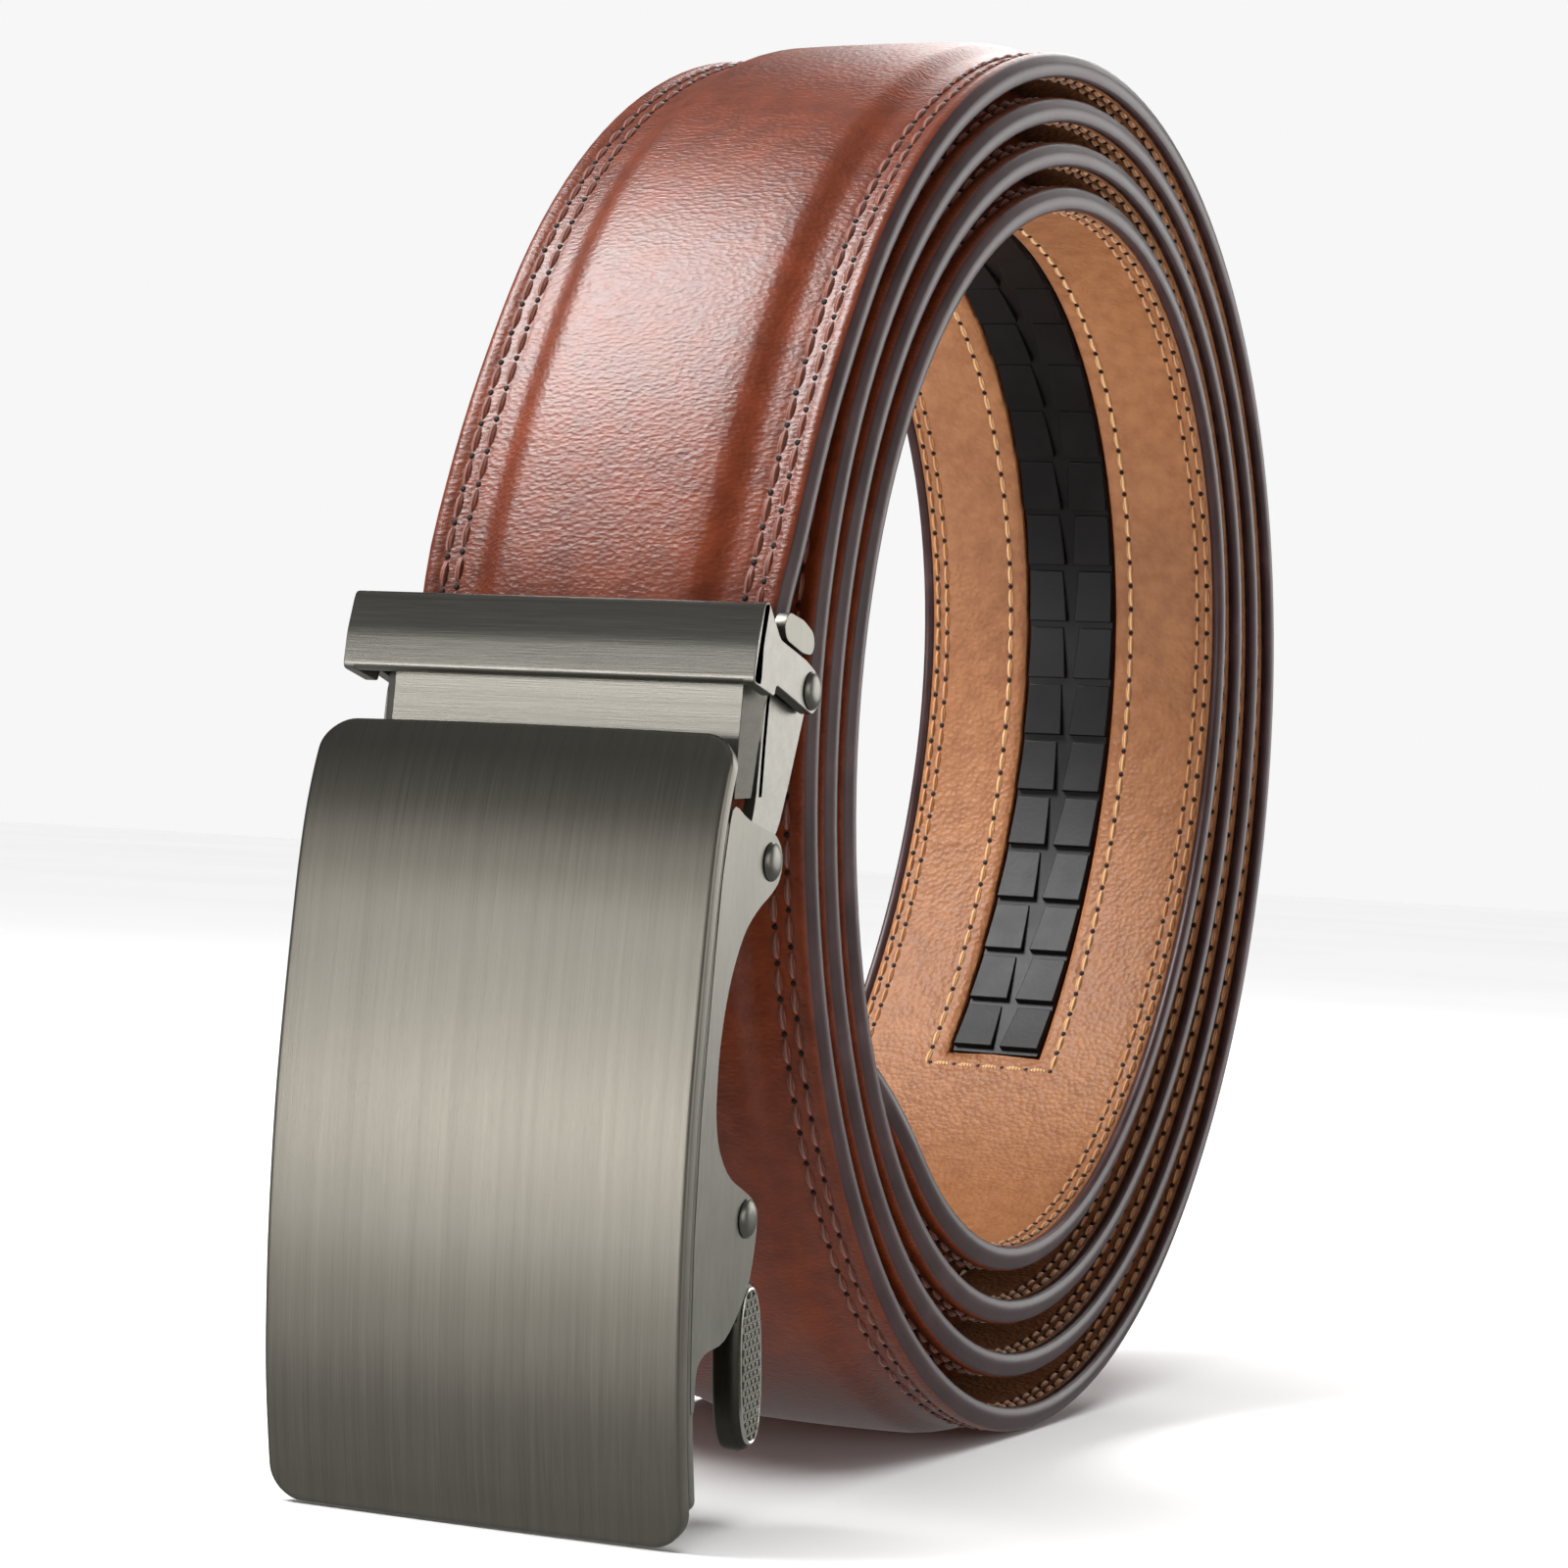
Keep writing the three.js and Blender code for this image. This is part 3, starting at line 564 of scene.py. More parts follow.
def lining_height(s, x):
    d = edge_distance(s, x)
    beside = np.where((s > window_start - WINDOW_ZONE) & (s < window_end + WINDOW_ZONE),
                      np.abs(x) - WINDOW_HALF, 1)
    ahead = np.maximum(window_start - s, s - window_end)
    gap = np.where(ahead > 0, np.maximum(ahead, beside), beside)
    furrows = [(d, row) for row in LINING_ROWS] + [(gap, WINDOW_ROW)]
    dip = sum(FURROW_DEPTH * np.exp(-((way - row) / FURROW_HALF) ** 2) for way, row in furrows)
    lip = WINDOW_PULL * np.clip(1 - gap / PULL_OVER, 0, 1) ** 2 * (gap > -1e-5)
    edge = EDGE_PULL * np.clip(1 - (d - LINING_EDGE) / PULL_OVER, 0, 1) ** 2
    return FACE_LIFT + dip + lip + edge


print("window", round(window_end - window_start, 3), "m long")

# %% [markdown]
# The sheet is a grid with the window's cells left out. Its shown face and its glued face share the grid,
# and walls close the sheet round the outline and the window.

# %% Strap lining
ACROSS = [-1, -0.985, -0.96, -0.925, -0.89, -0.86, -0.82, -0.76, -0.66, -0.56, -0.475, -0.43, -0.39, -0.355,
          -0.325]
window_x = WINDOW_HALF / (STRAP_WIDTH / 2 - LINING_EDGE)
across = np.array([*ACROSS, -window_x, 0, window_x, *(-v for v in reversed(ACROSS))])
lining_rows = np.unique(np.round(np.concatenate([
    np.arange(0.0005, window_start, ROW_STEP), np.linspace(window_start, window_end, 150),
    np.arange(window_end + 0.001, STRAP_LENGTH - TIP_LENGTH, 0.0025), tip_rows[:-1] - LINING_EDGE]), 6))
for mark in (window_start, window_end):
    lining_rows[np.argmin(np.abs(lining_rows - mark))] = mark
row_s, column = np.meshgrid(lining_rows, across, indexing="ij")
straightness = np.maximum(0.35, outline_normal(row_s)[1])        # the set-in grows where the outline turns
half_in = np.maximum(0.0004, half_width(row_s) - LINING_EDGE / straightness)
x_in = column * half_in
shown = on_strap(row_s, x_in, lining_height(row_s, x_in))
glued = on_strap(row_s, x_in, LINING)
middle = len(across) // 2
row_mid = (lining_rows[:-1] + lining_rows[1:]) / 2
kept_cells = np.ones((len(lining_rows) - 1, len(across) - 1), bool)
kept_cells[np.ix_((row_mid > window_start) & (row_mid < window_end), [middle - 1, middle])] = False


def sheet_faces(present):
    """Faces of a sheet of two grids, shown and hidden, with walls round every missing cell."""
    rows, cols = present.shape
    top = np.arange((rows + 1) * (cols + 1)).reshape(rows + 1, cols + 1)
    low = top + top.size
    # for each neighbour, the two corners on its side
    sides = {(-1, 0): (0, 1), (0, 1): (1, 2), (1, 0): (2, 3), (0, -1): (3, 0)}
    faces = []
    for i, j in zip(*np.nonzero(present)):
        corners = [(i, j), (i, j + 1), (i + 1, j + 1), (i + 1, j)]
        faces.append([top[c] for c in corners])
        faces.append([low[c] for c in reversed(corners)])
        for (di, dj), (p, q) in sides.items():
            ni, nj = i + di, j + dj
            if not (0 <= ni < rows and 0 <= nj < cols and present[ni, nj]):
                faces.append([top[corners[q]], top[corners[p]], low[corners[p]], low[corners[q]]])
    return faces


lining_skin = make_piece("strap_lining_skin", np.concatenate([shown.reshape(-1, 3), glued.reshape(-1, 3)]),
                         sheet_faces(kept_cells), [lining_leather], "strap", "lining_leather", sharp_above=50)
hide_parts("strap_lining")

# %% [markdown]
# Each stitch is a short length of thread that comes up out of one needle hole and goes down the next.
# The rows run along one edge, round the tip and back, at a fixed distance from the outline. A stitch is a
# small tapered roll, and every hole is a shallow cup between two stitches, coloured near black as painted
# shade for the hole's dark inside.

# %% A row of stitches
# distance from stitch to stitch, length of a stitch, radius of its thread
COVER_STITCH, LINING_STITCH = (0.0033, 0.0027, 0.00033), (0.00275, 0.0023, 0.00028)
STITCH_SINK, THREAD_STAND = 0.0003, 0.00008   # how deep its ends dip, and how far its middle stands up
THREAD_FLATTENED = 0.85
# along a stitch: share of its length, of the thread's radius, and of the dip
STITCH_SHAPE = [(0, 0.3, 1), (0.1, 0.75, 0.45), (0.3, 1, 0.08), (0.5, 1.05, 0), (0.7, 1, 0.08),
                (0.9, 0.75, 0.45), (1, 0.3, 1)]
THREAD_TURN = np.arange(6) * math.pi / 3
HOLE_RADIUS, HOLE_TURN = 0.00030, np.arange(7) * 2 * math.pi / 7
HOLE_SHAPE = [(0.00010, 1.0), (-0.00004, 0.86), (-0.00008, 0.45)]      # how deep, and share of its radius
ROWS_FROM = 0.012                             # the clamp hides the rows before this


def row_in_the_flat(inset):
    """A stitch row as points along and across the strap, from the clamp, round the tip and back."""
    n_s, n_x = outline_normal(outline_s)
    s, x = outline_s - inset * n_s, outline_half - inset * n_x
    keep = (x > 0) & (s > ROWS_FROM)
    s, x = s[keep], x[keep]
    return np.concatenate([s, s[::-1]]), np.concatenate([x, -x[::-1]])


def stitch_row(s, x, phase, height, sink, size):
    """Rings of every stitch and hole on a row. The height is the thread's, and a sink below 0 dips the
    stitch's ends towards the lining."""
    pitch, length, radius = size
    shares, widths, dips = np.array(STITCH_SHAPE).T
    run = np.concatenate([[0], np.cumsum(np.hypot(np.diff(s), np.diff(x)))])
    stitches, holes = [], []
    for start in np.arange(phase * pitch, run[-1] - pitch, pitch):
        at = start + shares * length
        ss, xx = np.interp(at, run, s), np.interp(at, run, x)
        h = height(ss, xx) + sink * dips
        centre = on_strap(ss, xx, h, floor=-1)
        step = centre[-1] - centre[0]
        step /= np.linalg.norm(step)
        lift = on_strap(ss[3], xx[3], h[3] + 0.001, floor=-1) - centre[3]
        lift -= step * lift.dot(step)
        lift /= np.linalg.norm(lift)
        side = np.cross(step, lift)
        section = [math.cos(t) * lift * THREAD_FLATTENED + math.sin(t) * side for t in THREAD_TURN]
        stitches.append([[c + radius * w * way for way in section] for c, w in zip(centre, widths)])
        at = start - (pitch - length) / 2
        ss, xx = np.interp(at, run, s), np.interp(at, run, x)
        toward, mouth_s, mouth_x = math.copysign(1, sink), np.cos(HOLE_TURN), np.sin(HOLE_TURN)
        holes.append([on_strap(ss + HOLE_RADIUS * wide * mouth_s, xx + HOLE_RADIUS * wide * mouth_x,
                               height(ss, xx) + toward * deep, floor=-1) for deep, wide in HOLE_SHAPE])
    return stitches, holes


print("a stitched row is", round(2 * (STRAP_LENGTH - ROWS_FROM), 2), "m long")

# %% [markdown]
# Thousands of separate objects would be slow, so all stitches of one thread are one mesh, and so are all
# needle holes. The second row of each pair is shifted, as two needles side by side would sew it.

# %% Sew the rows
needle_holes = []


def sew(name, rows, height, sink, size, material, slot):
    shells = []
    for s, x, phase in rows:
        stitches, holes = stitch_row(s, x, phase, height, sink, size)
        shells += [loft(rings) for rings in stitches]
        needle_holes.extend(loft(rings) for rings in holes)
    make_piece(name, *combine(shells), [material], "strap", slot)


def on_cover(s, x):
    return cover_height(s, x) + THREAD_STAND


def on_lining(s, x):
    return lining_height(s, x) - THREAD_STAND


sew("cover_stitches", [(*row_in_the_flat(ROW_OUTER), 0.0), (*row_in_the_flat(ROW_INNER), 0.5)],
    on_cover, -STITCH_SINK, COVER_STITCH, cover_thread, "cover_leather")
sew("lining_stitches", [(*row_in_the_flat(LINING_ROWS[0]), 0.2), (*row_in_the_flat(LINING_ROWS[1]), 0.6)],
    on_lining, STITCH_SINK, LINING_STITCH, lining_thread, "lining_leather")

row_start, row_end, row_x = window_start - WINDOW_ROW, window_end + WINDOW_ROW, WINDOW_HALF + WINDOW_ROW
corners = [(row_start, -row_x), (row_start, row_x), (row_end, row_x), (row_end, -row_x), (row_start, -row_x)]
loop_s, loop_x = [], []
for (s0, x0), (s1, x1) in zip(corners[:-1], corners[1:]):
    steps = np.linspace(0, 1, max(6, int(abs(s1 - s0) / 0.001)), endpoint=False)
    loop_s += list(s0 + (s1 - s0) * steps)
    loop_x += list(x0 + (x1 - x0) * steps)
sew("window_stitches", [(loop_s, loop_x, 0.0)], on_lining, STITCH_SINK, LINING_STITCH, window_thread,
    "lining_leather")
# the holes carry a near-black colour, painted shade for their dark insides
make_piece("needle_holes", *combine(needle_holes), [hole_shade], "strap", "lining_leather")

# %% [markdown]
# All metal here is die-cast zinc, plated and then brushed with a fine belt before lacquering. Brushing
# leaves hair-fine parallel scratches, which stretch every highlight across them. A noise stretched along
# the scratches drives colour, roughness and bump together.

# %% Brushed metal


def brushed(name, scratches, dark, light, rough):
    """Scratches give how fast the pattern changes along X, Y and Z: slow along the brushing."""
    metal = Finish(name, Metallic=1.0)
    fine = metal.noise(1.0, 4, 0.7, metal.stretched(scratches))
    broad = metal.noise(1.0, 2, 0.5, metal.stretched(tuple(v * 0.13 for v in scratches)))
    dark, light = srgb(*dark), srgb(*light)
    shade = metal.mix(0.3, metal.ramp(fine, (0.25, dark), (0.75, light)),
                      metal.ramp(broad, (0.3, dark), (0.7, light)))
    return metal.set(Base_Color=shade, Roughness=metal.level(fine, *rough),
                     Normal=metal.bump(fine, 0.000025, 0.5))


plate_metal = brushed("plate_brushed", (11000, 110, 110), (118, 114, 105), (142, 138, 128), (0.34, 0.46))
clamp_metal = brushed("clamp_brushed", (140, 9000, 9000), (132, 129, 121), (158, 155, 147), (0.32, 0.44))
frame_metal = brushed("frame_brushed", (2500, 1600, 420), (126, 123, 114), (148, 145, 136), (0.36, 0.46))
lever_metal = brushed("lever_dark", (1800, 1800, 600), (66, 63, 56), (84, 81, 73), (0.32, 0.42))
pad_metal = brushed("pad_silver", (1200, 1200, 1200), (200, 198, 188), (226, 224, 216), (0.22, 0.32))
pin_metal = brushed("pin_steel", (800, 800, 800), (104, 102, 94), (132, 130, 121), (0.3, 0.4))
print("six metal finishes ready")

# %% [markdown]
# Cast pieces are drawn as an outline in the buckle's side view and extruded across the belt. Real edges
# are never sharp: corners of the outline are rounded first, then every edge gets a small bevel, and
# weighted normals keep the broad faces flat between the bevels.

# %% Outline helpers


def outline(table, reach=0.0005, steps=4):
    """Row Y and Z of an outline given in hundredths of the buckle's length, its corners rounded."""
    p = np.array(table, float) * SHARE
    before, after = np.roll(p, 1, axis=0), np.roll(p, -1, axis=0)
    result = []
    for a, b, c in zip(before, p, after):
        to_a, to_c = a - b, c - b
        start = b + to_a * min(0.45, reach / np.linalg.norm(to_a))
        end = b + to_c * min(0.45, reach / np.linalg.norm(to_c))
        for t in np.linspace(0, 1, steps):
            result.append((1 - t) ** 2 * start + 2 * t * (1 - t) * b + t * t * end)
    return [from_hinge(*q) for q in result]


def extrude(profile, x0, x1):
    return loft([[(x, y, z) for y, z in profile] for x in (x0, x1)])


def both_sides(profile, inner, outer):
    """The same wall at the left and the right of the buckle."""
    return [extrude(profile, side * inner, side * outer) for side in (-1, 1)]


def cast(name, shells, material, body, slot, bevel, node):
    """One piece from closed shells, with bevelled edges, standing for its node of the solid model."""
    piece = make_piece(name, *combine(shells), [material], body, slot)
    soften = piece.modifiers.new("bevel", "BEVEL")
    soften.width, soften.segments, soften.use_clamp_overlap = bevel, 3, True
    soften.limit_method, soften.angle_limit = "ANGLE", math.radians(28)
    piece.modifiers.new("normals", "WEIGHTED_NORMAL").keep_sharp = False
    finished = bpy.data.meshes.new_from_object(piece.evaluated_get(bpy.context.evaluated_depsgraph_get()))
    piece.modifiers.clear()
    piece.data = finished
    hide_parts(node)


print("outline helpers ready")

# %% [markdown]
# The front plate is a shallow curved sheet, higher along its middle, with round corners. It is laid out
# in the flat as rows and columns, and each row is a closed ring: the crowned face, a soft edge and the
# flat back. The face drops along its border, which gives the thin bright line seen round a real plate.

# %% Front plate
PLATE_HALF, PLATE_CORNER, PLATE_EDGE = EAR_OUTER, 0.0030, 0.00035
plate_run = np.concatenate([[0], np.cumsum(np.linalg.norm(np.diff(plate_line, axis=0), axis=1))])


def curved_sheet(start, end, outer, thick, half, corner, crown, edge, rows=90):
    """A sheet that follows the plate's curve between two distances along it, as closed rings."""
    ends = np.array([0, 0.04, 0.12, 0.25, 0.45, 0.7, 1, 1.3, 1.64, 1.98, 2.32, 2.66]) * max(edge, corner / 3)
    inset = max(corner, 3 * edge)
    middle = np.linspace(start + inset, end - inset, rows)
    distances = np.concatenate([start + ends, middle, (end - ends)[::-1]])
    border = [1, 0.996, 0.988, 0.975, 0.955]
    shares = np.array([*border, *np.linspace(0.92, -0.92, 21), *(-v for v in reversed(border))])
    rings = []
    for v in distances:
        to_end = min(v - start, end - v)
        pull = corner - math.sqrt(max(0, corner ** 2 - (corner - to_end) ** 2)) if to_end < corner else 0
        width = half - pull
        x = shares * width
        in_corner = np.maximum(0, np.abs(x) - (half - corner))
        to_border = np.where((in_corner > 0) & (to_end < corner),
                             corner - np.hypot(in_corner, corner - to_end),
                             np.minimum(half - np.abs(x), to_end))
        face = outer + crown * (1 - (x / half) ** 2) - round_over(to_border, edge)
        back_x = np.array([-1, -0.6, 0, 0.6, 1]) * width
        out, up = (np.interp(v, plate_run, plate_line[:, k]) for k in range(2))
        n_out, n_up = (np.interp(v, plate_run, plate_normals[:, k]) for k in range(2))
        rings.append([(at, *from_hinge(out + n_out * h, up + n_up * h))
                      for at, h in [*zip(x, face), *((at, outer - thick) for at in back_x)]])
    return loft(rings)


def plate_distance(height):
    """Distance along the plate's curve of a height given in hundredths of the buckle's length."""
    return float(np.interp(height * SHARE, plate_line[:, 1], plate_run))


plate_shell = curved_sheet(0, plate_run[-1], 0, PLATE_THICK, PLATE_HALF, PLATE_CORNER, PLATE_CROWN,
                           PLATE_EDGE)
plate = make_piece("front_plate_skin", *plate_shell, [plate_metal], "buckle_front", "brushed_plate",
                   sharp_above=55)
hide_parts("front_plate")

# %% [markdown]
# Behind the plate sits the frame: a backing sheet with a wall on each side. Each wall has an ear for the
# hinge pin, a scooped waist, and a lug for the lever's pin.

# %% Buckle frame
FRAME_WALL = [
    (11.38, 9.08), (7.38, 6.31), (1.23, 4.15), (-1.38, 3.38), (-3.08, 1.54), (-3.54, -0.46), (-2.46, -2.92),
    (0.31, -4.31), (3.69, -5.38), (8, -7.69), (11.54, -12), (14, -16.62), (15.85, -22.15), (16.92, -29.23),
    (16.31, -34), (13.38, -38.31), (8.31, -41.08), (5.54, -42.77), (4.46, -45.08), (5.23, -48.31),
    (7.08, -53.23), (11.08, -56.92), (15.23, -59.38), (20.31, -59.08), (23.08, -60.62), (23.54, -66.15),
    (24.62, -66.15), (24.15, -55.38), (23.23, -43.85), (20.92, -28.31), (16.77, -9.23), (14.62, 0),
]
BACKING, BACKING_LOW, BACKING_HIGH, PLATE_GAP = 0.0009, -79.23, 8.62, 0.0003
backing = curved_sheet(plate_distance(BACKING_LOW), plate_distance(BACKING_HIGH), -PLATE_THICK - PLATE_GAP,
                       BACKING, half=EAR_OUTER - 0.00005, corner=0.0012, crown=0, edge=0.0002, rows=50)
cast("buckle_frame_skin", [backing, *both_sides(outline(FRAME_WALL, 0.0016), EAR_INNER, EAR_OUTER)],
     frame_metal, "buckle_front", "frame_steel", 0.00018, "buckle_frame")

# %% [markdown]
# The clamp grips the strap's cut end. Its front wall has chamfered ends, two side arms run down to the
# hinge pin, and a short bar closes it behind the strap.

# %% Clamp body
CLAMP_ARM = [
    (-2.92, 20.77), (-7.69, 22.46), (-10.77, 24), (-13.23, 24.31), (-15.69, 22.92), (-16.46, 20.31),
    (-14.77, 17.23), (-10.77, 10.15), (-7.08, 4), (-4, 0.92), (-3.23, -1.85), (-0.92, -3.54), (1.85, -3.08),
    (3.38, -0.92), (3.08, 1.85), (0.31, 7.69), (-1.38, 14.77),
]
CLAMP_FRONT = [(1.85, 8), (0.54, 14.77), (-0.77, 20.62), (-1.6, 26.2)]
CLAMP_BACK = [(-10.15, 16.31), (-8.46, 9.85), (-10, 9.38), (-11.69, 16)]
CLAMP_WALL, CLAMP_CHAMFER, INNER_CHAMFER, OVERLAP = 0.0011, 0.0015, 0.00115, 0.0003
front_rings, level_to = [], ARM_OUTER - CLAMP_CHAMFER
for x, back_by in ((-ARM_OUTER, 1), (-level_to, 0), (level_to, 0), (ARM_OUTER, 1)):
    front_rings.append([(x, *from_hinge(out * SHARE - back_by * CLAMP_CHAMFER, up * SHARE))
                        for out, up in CLAMP_FRONT]
                       + [(x, *from_hinge(out * SHARE - CLAMP_WALL - back_by * INNER_CHAMFER, up * SHARE))
                          for out, up in reversed(CLAMP_FRONT)])
bar = extrude(outline(CLAMP_BACK, 0.0002), -ARM_INNER - OVERLAP, ARM_INNER + OVERLAP)
arms = both_sides(outline(CLAMP_ARM, 0.0009), ARM_INNER, ARM_OUTER)
cast("clamp_body_skin", [loft(front_rings), bar, *arms], clamp_metal, "strap", "frame_steel", 0.00016,
     "clamp_body")

# %% [markdown]
# The loop is a band across the front of the strap with an ear each side. It turns on its own pin, and
# when it is closed it presses the clamp shut.

# %% Clamp loop
LOOP_EAR = [
    (1.7, 33.1), (0.3, 33.1), (-3.08, 28.15), (-11.08, 24.92), (-14.31, 23.08), (-15.69, 20.92),
    (-15.23, 18.77), (-12.92, 17.54), (-1.54, 22.46), (-1.08, 20.92), (5.35, 23.3),
]
LOOP_BAND = [(1.7, 33.1), (-0.15, 33.1), (2.1, 27.54), (2.6, 24.4), (3, 22.6), (5.35, 23.3), (4.05, 28.15)]
band = extrude(outline(LOOP_BAND, 0.0006), -EAR_OUTER, EAR_OUTER)
cast("clamp_loop_skin", [band, *both_sides(outline(LOOP_EAR), EAR_INNER, EAR_OUTER)],
     clamp_metal, "loop", "frame_steel", 0.0003, "clamp_loop")

# %% [markdown]
# The jaw is a plate behind the strap. A tab at each end reaches forward past the strap's edge.

# %% Clamp jaw
JAW_TAB = [(-5.54, 29.85), (-7.08, 31.38), (-11.69, 30), (-14.77, 28.15), (-15.08, 26.46), (-14.15, 25.23),
           (-11.38, 25.69), (-6.15, 27.85)]
JAW_PLATE = [(-13.54, 29.23), (-14.77, 28.15), (-15.08, 26.46), (-14.15, 25.23), (-12.92, 25.38)]
TAB_INNER = STRAP_WIDTH / 2 + SIDE_ROOM / 2
TAB_OUTER, TAB_OVERLAP = TAB_INNER + 0.00105, 0.0002
jaw = extrude(outline(JAW_PLATE, 0.0003), -TAB_INNER - TAB_OVERLAP, TAB_INNER + TAB_OVERLAP)
cast("clamp_jaw_skin", [jaw, *both_sides(outline(JAW_TAB, 0.0006), TAB_INNER, TAB_OUTER)],
     frame_metal, "strap", "frame_steel", 0.0003, "clamp_jaw")

# %% [markdown]
# The release lever turns on the lower pin. Its pawl catches the track's teeth behind the plate, and its
# dark thumb tab is a rounded oblong at the buckle's side, softened at both faces.

# %% Release lever
PIN_RADIUS, HUB_WALL = 0.00115, 0.00095
LEVER_PIN = (7.85, -44.62)
THUMB_CENTRE, THUMB_REACH = np.array([1.38, -65.54]) * SHARE, np.array([4.15, 11.23]) * SHARE
LEVER_WALL, LEVER_PLAY, PAWL_INSET = 0.0025, 0.0006, 0.0045
thumb_outer = EAR_INNER - LEVER_PLAY
hub_half = thumb_outer - 0.0001


def ring_outline(centre, radius, sides=32):
    return [from_hinge(centre[0] * SHARE + radius * math.cos(a), centre[1] * SHARE + radius * math.sin(a))
            for a in np.arange(sides) * 2 * math.pi / sides]


def pill(inset, sides=56):
    """The thumb tab's rounded outline, drawn in by an inset."""
    turn = np.arange(sides) * 2 * math.pi / sides
    way = np.stack([np.cos(turn), np.sin(turn)], axis=1)
    return [from_hinge(*p) for p in THUMB_CENTRE + (THUMB_REACH - inset) * np.sign(way) * np.abs(way) ** 0.8]


PAWL = [(8.62, -42.46), (12.62, -34.77), (14.31, -35.23), (10.77, -45.23)]
LEVER_ARM = [(4.92, -44.62), (10.15, -46.46), (4.92, -59.38), (-0.92, -57.54)]
# the tab's section: depth from its inner face, and inset of its outline there
TAB_SECTION = [(0, 0.0007), (0.0001, 0.00035), (0.0003, 0.0001), (0.0006, 0), (0.0017, 0), (0.0021, 0.00012),
               (0.00235, 0.0004), (0.0025, 0.0008), (0.0025, 0.0011)]
lever_shells = [
    extrude(ring_outline(LEVER_PIN, PIN_RADIUS + HUB_WALL), -hub_half, hub_half),
    extrude(outline(PAWL, 0.0003), -hub_half + PAWL_INSET, hub_half - PAWL_INSET),
    extrude(outline(LEVER_ARM, 0.0006), thumb_outer - LEVER_WALL, thumb_outer - 0.0002),
    loft([[(thumb_outer - LEVER_WALL + depth, y, z) for y, z in pill(inset)]
          for depth, inset in TAB_SECTION]),
]
cast("release_lever_skin", lever_shells, lever_metal, "lever", "lever_metal", 0.00015, "release_lever")

# %% [markdown]
# The tab carries a silver honeycomb pad for grip. Its net is real geometry: a short bar for each side of
# each cell, kept where it falls inside the pad's rounded outline, and a rounded rim round them all.

# %% Honeycomb pad
CELL, BAR_HALF, BAR_HEIGHT, PAD_INSET = 0.00078, 0.00009, 0.00022, 0.00075
# across a bar: share of its half width, and height over the tab
BAR_SECTION = [(-1, -0.0001), (-1, 0.6 * BAR_HEIGHT), (-0.45, BAR_HEIGHT), (0.45, BAR_HEIGHT),
               (1, 0.6 * BAR_HEIGHT), (1, -0.0001)]
# across the rim: height over the tab, and inset from its outline
RIM_SECTION = [(-0.0001, 0.0009), (0.00012, 0.00088), (0.00018, 0.00074), (0.00012, 0.0006),
               (-0.0001, 0.00058)]


def inside_pad(p):
    return ((np.abs(p - THUMB_CENTRE) / (THUMB_REACH - PAD_INSET)) ** 2.5).sum() < 1


def net_bar(one, two):
    """A bar of the net between two knots, a little longer so that bars meet."""
    way = (two - one) / np.linalg.norm(two - one)
    across_bar = np.array([-way[1], way[0]]) * BAR_HALF
    ends = (one - way * BAR_HALF * 0.6, two + way * BAR_HALF * 0.6)
    return loft([[(thumb_outer + lift, *from_hinge(*(end + across_bar * w))) for w, lift in BAR_SECTION]
                 for end in ends])


net, size = [], CELL / math.sqrt(3)
knot_ways = [np.array([math.sin(k * math.pi / 3), math.cos(k * math.pi / 3)]) for k in range(4)]
for row in range(-12, 13):
    for col in range(-5, 6):
        centre = THUMB_CENTRE + np.array([(col + 0.5 * (row % 2)) * CELL, row * CELL * math.sqrt(3) / 2])
        knots = [centre + size * way for way in knot_ways]
        net += [net_bar(one, two) for one, two in zip(knots[:-1], knots[1:])
                if inside_pad(one) and inside_pad(two)]
rim_rings = [[(thumb_outer + lift, y, z) for y, z in pill(inset)]
             for lift, inset in (*RIM_SECTION, RIM_SECTION[0])]
net.append(loft(rim_rings, closed_ends=False))
make_piece("thumb_pad_net", *combine(net), [pad_metal], "lever", "lever_metal", sharp_above=40)

# %% [markdown]
# Three rivet pins cross the buckle. Each end is upset into a low dome with a flat crown, so a pin is a
# half outline turned round its own axis. The hinge and lever pins ride with the pieces they hold.

# %% Pins
HEAD_RADIUS, HEAD_HEIGHT = 0.00165, 0.00055
HEAD_GAP, LEAST_RADIUS = 0.00006, 1e-5        # under the head, and at the dome's middle
LOOP_PIN = (-12.62, 20.77)
# the dome: shares of the head's radius and height
DOME = [(0, 1), (0.3, 0.99), (0.52, 0.93), (0.7, 0.8), (0.85, 0.6), (0.95, 0.36), (1, 0.16), (0.97, 0.12)]


def pin(name, centre, body, node):
    y, z = from_hinge(centre[0] * SHARE, centre[1] * SHARE)
    half = [(max(r * HEAD_RADIUS, LEAST_RADIUS), EAR_OUTER + h * HEAD_HEIGHT) for r, h in DOME]
    half.append((PIN_RADIUS, EAR_OUTER + HEAD_GAP))
    line = half + [(r, -x) for r, x in reversed(half)]
    rings = [[(x, y + r * math.cos(a), z + r * math.sin(a)) for a in np.arange(28) * 2 * math.pi / 28]
             for r, x in line]
    piece = make_piece(name, *loft(rings), [pin_metal], body, "pin_steel", sharp_above=50)
    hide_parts(node)


pin("loop_pin_skin", LOOP_PIN, "strap", "loop_pin")
pin("hinge_pin_skin", (0, 0), "strap", "hinge_pin")
pin("lever_pin_skin", LEVER_PIN, "buckle_front", "lever_pin")

# %% [markdown]
# The track is moulded from tough black plastic: a thin strip with two columns of ramped teeth. Each tooth
# rises along the strap and ends in a step that the pawl catches. The inner ends of the teeth are cut
# aslant, so the channel between the columns runs in a zigzag. Moulded edges are rounded by a small bevel.

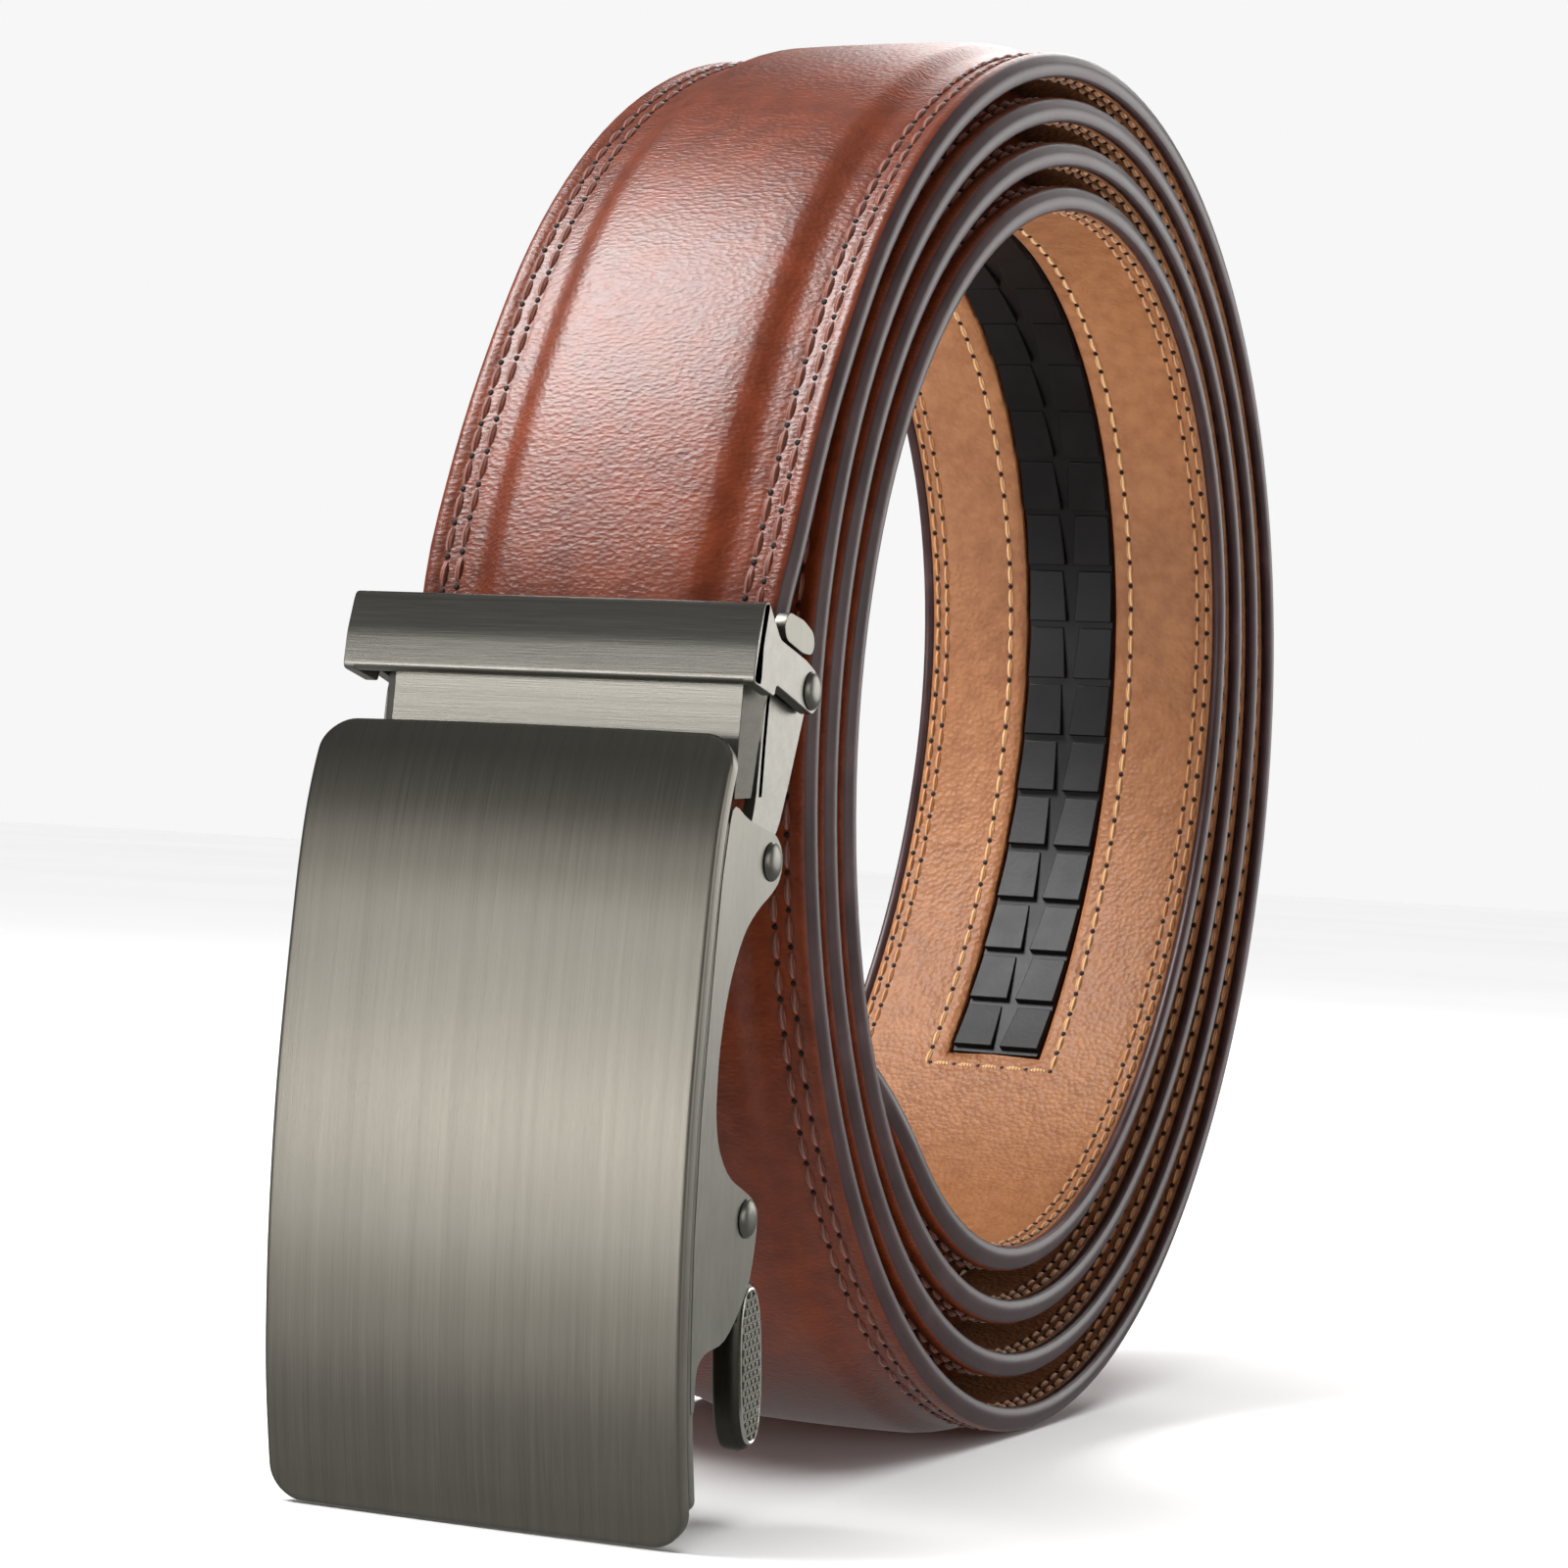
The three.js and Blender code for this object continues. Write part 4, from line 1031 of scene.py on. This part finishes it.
# %% Track
TRACK_WIDTH, TRACK_GAP, TEETH = 0.0098, 0.0015, 48
TRACK_BACK, TRACK_BASE, TOOTH_TOP = 0.00085, 0.00045, -0.00015          # heights over the lining's face
TRACK_MARGIN = 0.6                            # degrees of the coil, from the window's ends
TOOTH_SHARE, TOOTH_LOW, ROOT = 0.9, 0.25, 0.0001    # its part of the pitch, its low end, and its set-in
plastic = Finish("track_plastic", Specular_IOR_Level=0.35)
scuff = plastic.noise(260, 4, 0.6)
track_plastic = plastic.set(Base_Color=plastic.ramp(scuff, (0.3, srgb(7, 7, 9)), (0.75, srgb(16, 17, 19))),
                            Roughness=plastic.level(scuff, 0.42, 0.56),
                            Normal=plastic.bump(plastic.noise(2200, 2), 0.00004, 0.35))
track_start, track_end = run_at(WINDOW_FROM + TRACK_MARGIN), run_at(WINDOW_TO - TRACK_MARGIN)
pitch = (track_end - track_start) / TEETH
strip_section = [(side * TRACK_WIDTH / 2, h) for side, h in
                 ((-1, TRACK_BASE), (1, TRACK_BASE), (1, TRACK_BACK), (-1, TRACK_BACK))]
track_shells = [loft([[on_strap(v, x, h) for x, h in strip_section]
                      for v in np.linspace(track_start, track_end, 200)])]


def tooth(near, far, side):
    """One ramped tooth between two distances along the strap, with a slanted inner end."""
    rings = []
    for share in (0, 0.35, 0.7, 1):
        inner_x = side * TRACK_GAP * (0.62 - 0.32 * share)
        outer_x = side * (TRACK_WIDTH / 2 - ROOT)
        height = TRACK_BASE + (TOOTH_TOP - TRACK_BASE) * (TOOTH_LOW + (1 - TOOTH_LOW) * share)
        root = TRACK_BASE + ROOT
        section = ((inner_x, height), (outer_x, height), (outer_x, root), (inner_x, root))
        rings.append([on_strap(near + (far - near) * share, x, h) for x, h in section])
    return loft(rings)


for number in range(TEETH):
    near, far = track_start + number * pitch + ROOT, track_start + (number + TOOTH_SHARE) * pitch
    track_shells += [tooth(near, far, side) for side in (-1, 1)]
cast("ratchet_track_skin", track_shells, track_plastic, "strap", "track_plastic", 0.0002, "ratchet_track")

# %% [markdown]
# The part stands on a pale floor that ends far behind it. Mirror rays pass through the floor, so the metal
# sees the dim sky below the horizon. Black cards round a real product do the same.

# %% Floor
FLOOR_HALF, FLOOR_DROP = 4, 0.00005
floor_mesh = bpy.data.meshes.new("floor")
floor_mesh.from_pydata([(x * FLOOR_HALF, y * FLOOR_HALF, 0) for x, y in ((-1, -1), (1, -1), (1, 1), (-1, 1))],
                       [], [(0, 1, 2, 3)])
floor = bpy.data.objects.new("floor", floor_mesh)
bpy.context.scene.collection.objects.link(floor)
pale = Finish("floor_pale", Roughness=0.65, Specular_IOR_Level=0.3)
floor_mesh.materials.append(pale.set(Base_Color=pale.ramp(pale.noise(3), (0.3, srgb(236, 236, 236)),
                                                          (0.7, srgb(240, 240, 240)))))
floor.location.z = -FLOOR_DROP
floor.visible_glossy = False
print("floor", 2 * FLOOR_HALF, "m wide")

# %% [markdown]
# The sky is two skies. The camera sees plain white. Everything else is lit by a dim vertical ramp: even
# below the horizon, dark at a middle height, and brighter again overhead.

# %% Sky
SKY_STOPS = [(0.0, 1.0), (0.55, 0.22), (1.0, 1.0)]      # height of the direction, and brightness
SKY_STRENGTH, BACKDROP = 0.3, 0.93
world = bpy.data.worlds.new("sky")
bpy.context.scene.world = world
world.use_nodes = True
nodes, links = world.node_tree.nodes, world.node_tree.links
direction, split = nodes.new("ShaderNodeTexCoord"), nodes.new("ShaderNodeSeparateXYZ")
ramp, seen = nodes.new("ShaderNodeValToRGB"), nodes.new("ShaderNodeLightPath")
dim, white, blend = nodes["Background"], nodes.new("ShaderNodeBackground"), nodes.new("ShaderNodeMixShader")
ramp.color_ramp.elements.new(SKY_STOPS[1][0])
for element, (at, value) in zip(ramp.color_ramp.elements, SKY_STOPS):
    element.position, element.color = at, (value, value, value, 1)
dim.inputs["Strength"].default_value = SKY_STRENGTH
white.inputs["Color"].default_value = (1, 1, 1, 1)
white.inputs["Strength"].default_value = BACKDROP
for source, target in (
        (direction.outputs["Generated"], split.inputs[0]), (split.outputs["Z"], ramp.inputs["Fac"]),
        (ramp.outputs["Color"], dim.inputs["Color"]), (seen.outputs["Is Camera Ray"], blend.inputs["Fac"]),
        (dim.outputs[0], blend.inputs[1]), (white.outputs[0], blend.inputs[2]),
        (blend.outputs[0], nodes["World Output"].inputs["Surface"])):
    links.new(source, target)
print("sky ready")

# %% [markdown]
# One large soft light high on the left gives the long highlight on the leather. A low strip in front
# brightens the plate's lower middle, and three soft lights at the right and behind draw the edges. The
# first is kept off the plate and the clamp, as a black card would. A wide sun lights only the floor, so
# that it meets the white backdrop.

# %% Lights
SUN_STRENGTH, SUN_ANGLE = 3.0, 50


def add_light(name, kind, energy):
    lamp = bpy.data.lights.new(name, kind)
    lamp.energy = energy
    obj = bpy.data.objects.new(name, lamp)
    bpy.context.scene.collection.objects.link(obj)
    return obj


def softbox(name, at, aim, size, watts):
    """A rectangular light at a place, turned towards another, sizes in metres."""
    obj = add_light(name, "AREA", watts)
    obj.data.shape, obj.data.size, obj.data.size_y = "RECTANGLE", *size
    obj.location = at
    obj.rotation_euler = (Vector(aim) - Vector(at)).to_track_quat("-Z", "Y").to_euler()
    return obj


def receivers(light, name, objects):
    """Gives a light a list of objects, which it lights alone unless they are marked as left out."""
    group = bpy.data.collections.new(name)
    for obj in objects:
        group.objects.link(obj)
    light.light_linking.receiver_collection = group
    return group


key = softbox("key", (-0.32, -0.22, 0.62), (0, -0.045, 0.10), (0.30, 0.30), 6.5)
softbox("back_right", (0.50, 0.85, 0.25), (0.02, 0, 0.06), (0.5, 0.5), 2.6)
softbox("front", (-0.42, -1.1, 0.03), (0, -0.05, 0.05), (0.8, 0.18), 5.4)
softbox("right", (1.5, -0.15, 0.3), (0, 0, 0.06), (1.1, 0.7), 4.5)
softbox("back", (-0.1, 0.75, 0.6), (0, 0, 0.08), (0.5, 0.3), 2.5)
flagged = receivers(key, "flagged_from_key", [bpy.data.objects[name] for name in
                                              ("front_plate_skin", "clamp_loop_skin", "clamp_body_skin")])
for link in flagged.collection_objects:
    link.light_linking.link_state = "EXCLUDE"
overhead = add_light("overhead", "SUN", SUN_STRENGTH)
overhead.data.angle = math.radians(SUN_ANGLE)
receivers(overhead, "lit_by_overhead", [floor])
print("five soft lights and one over the floor")
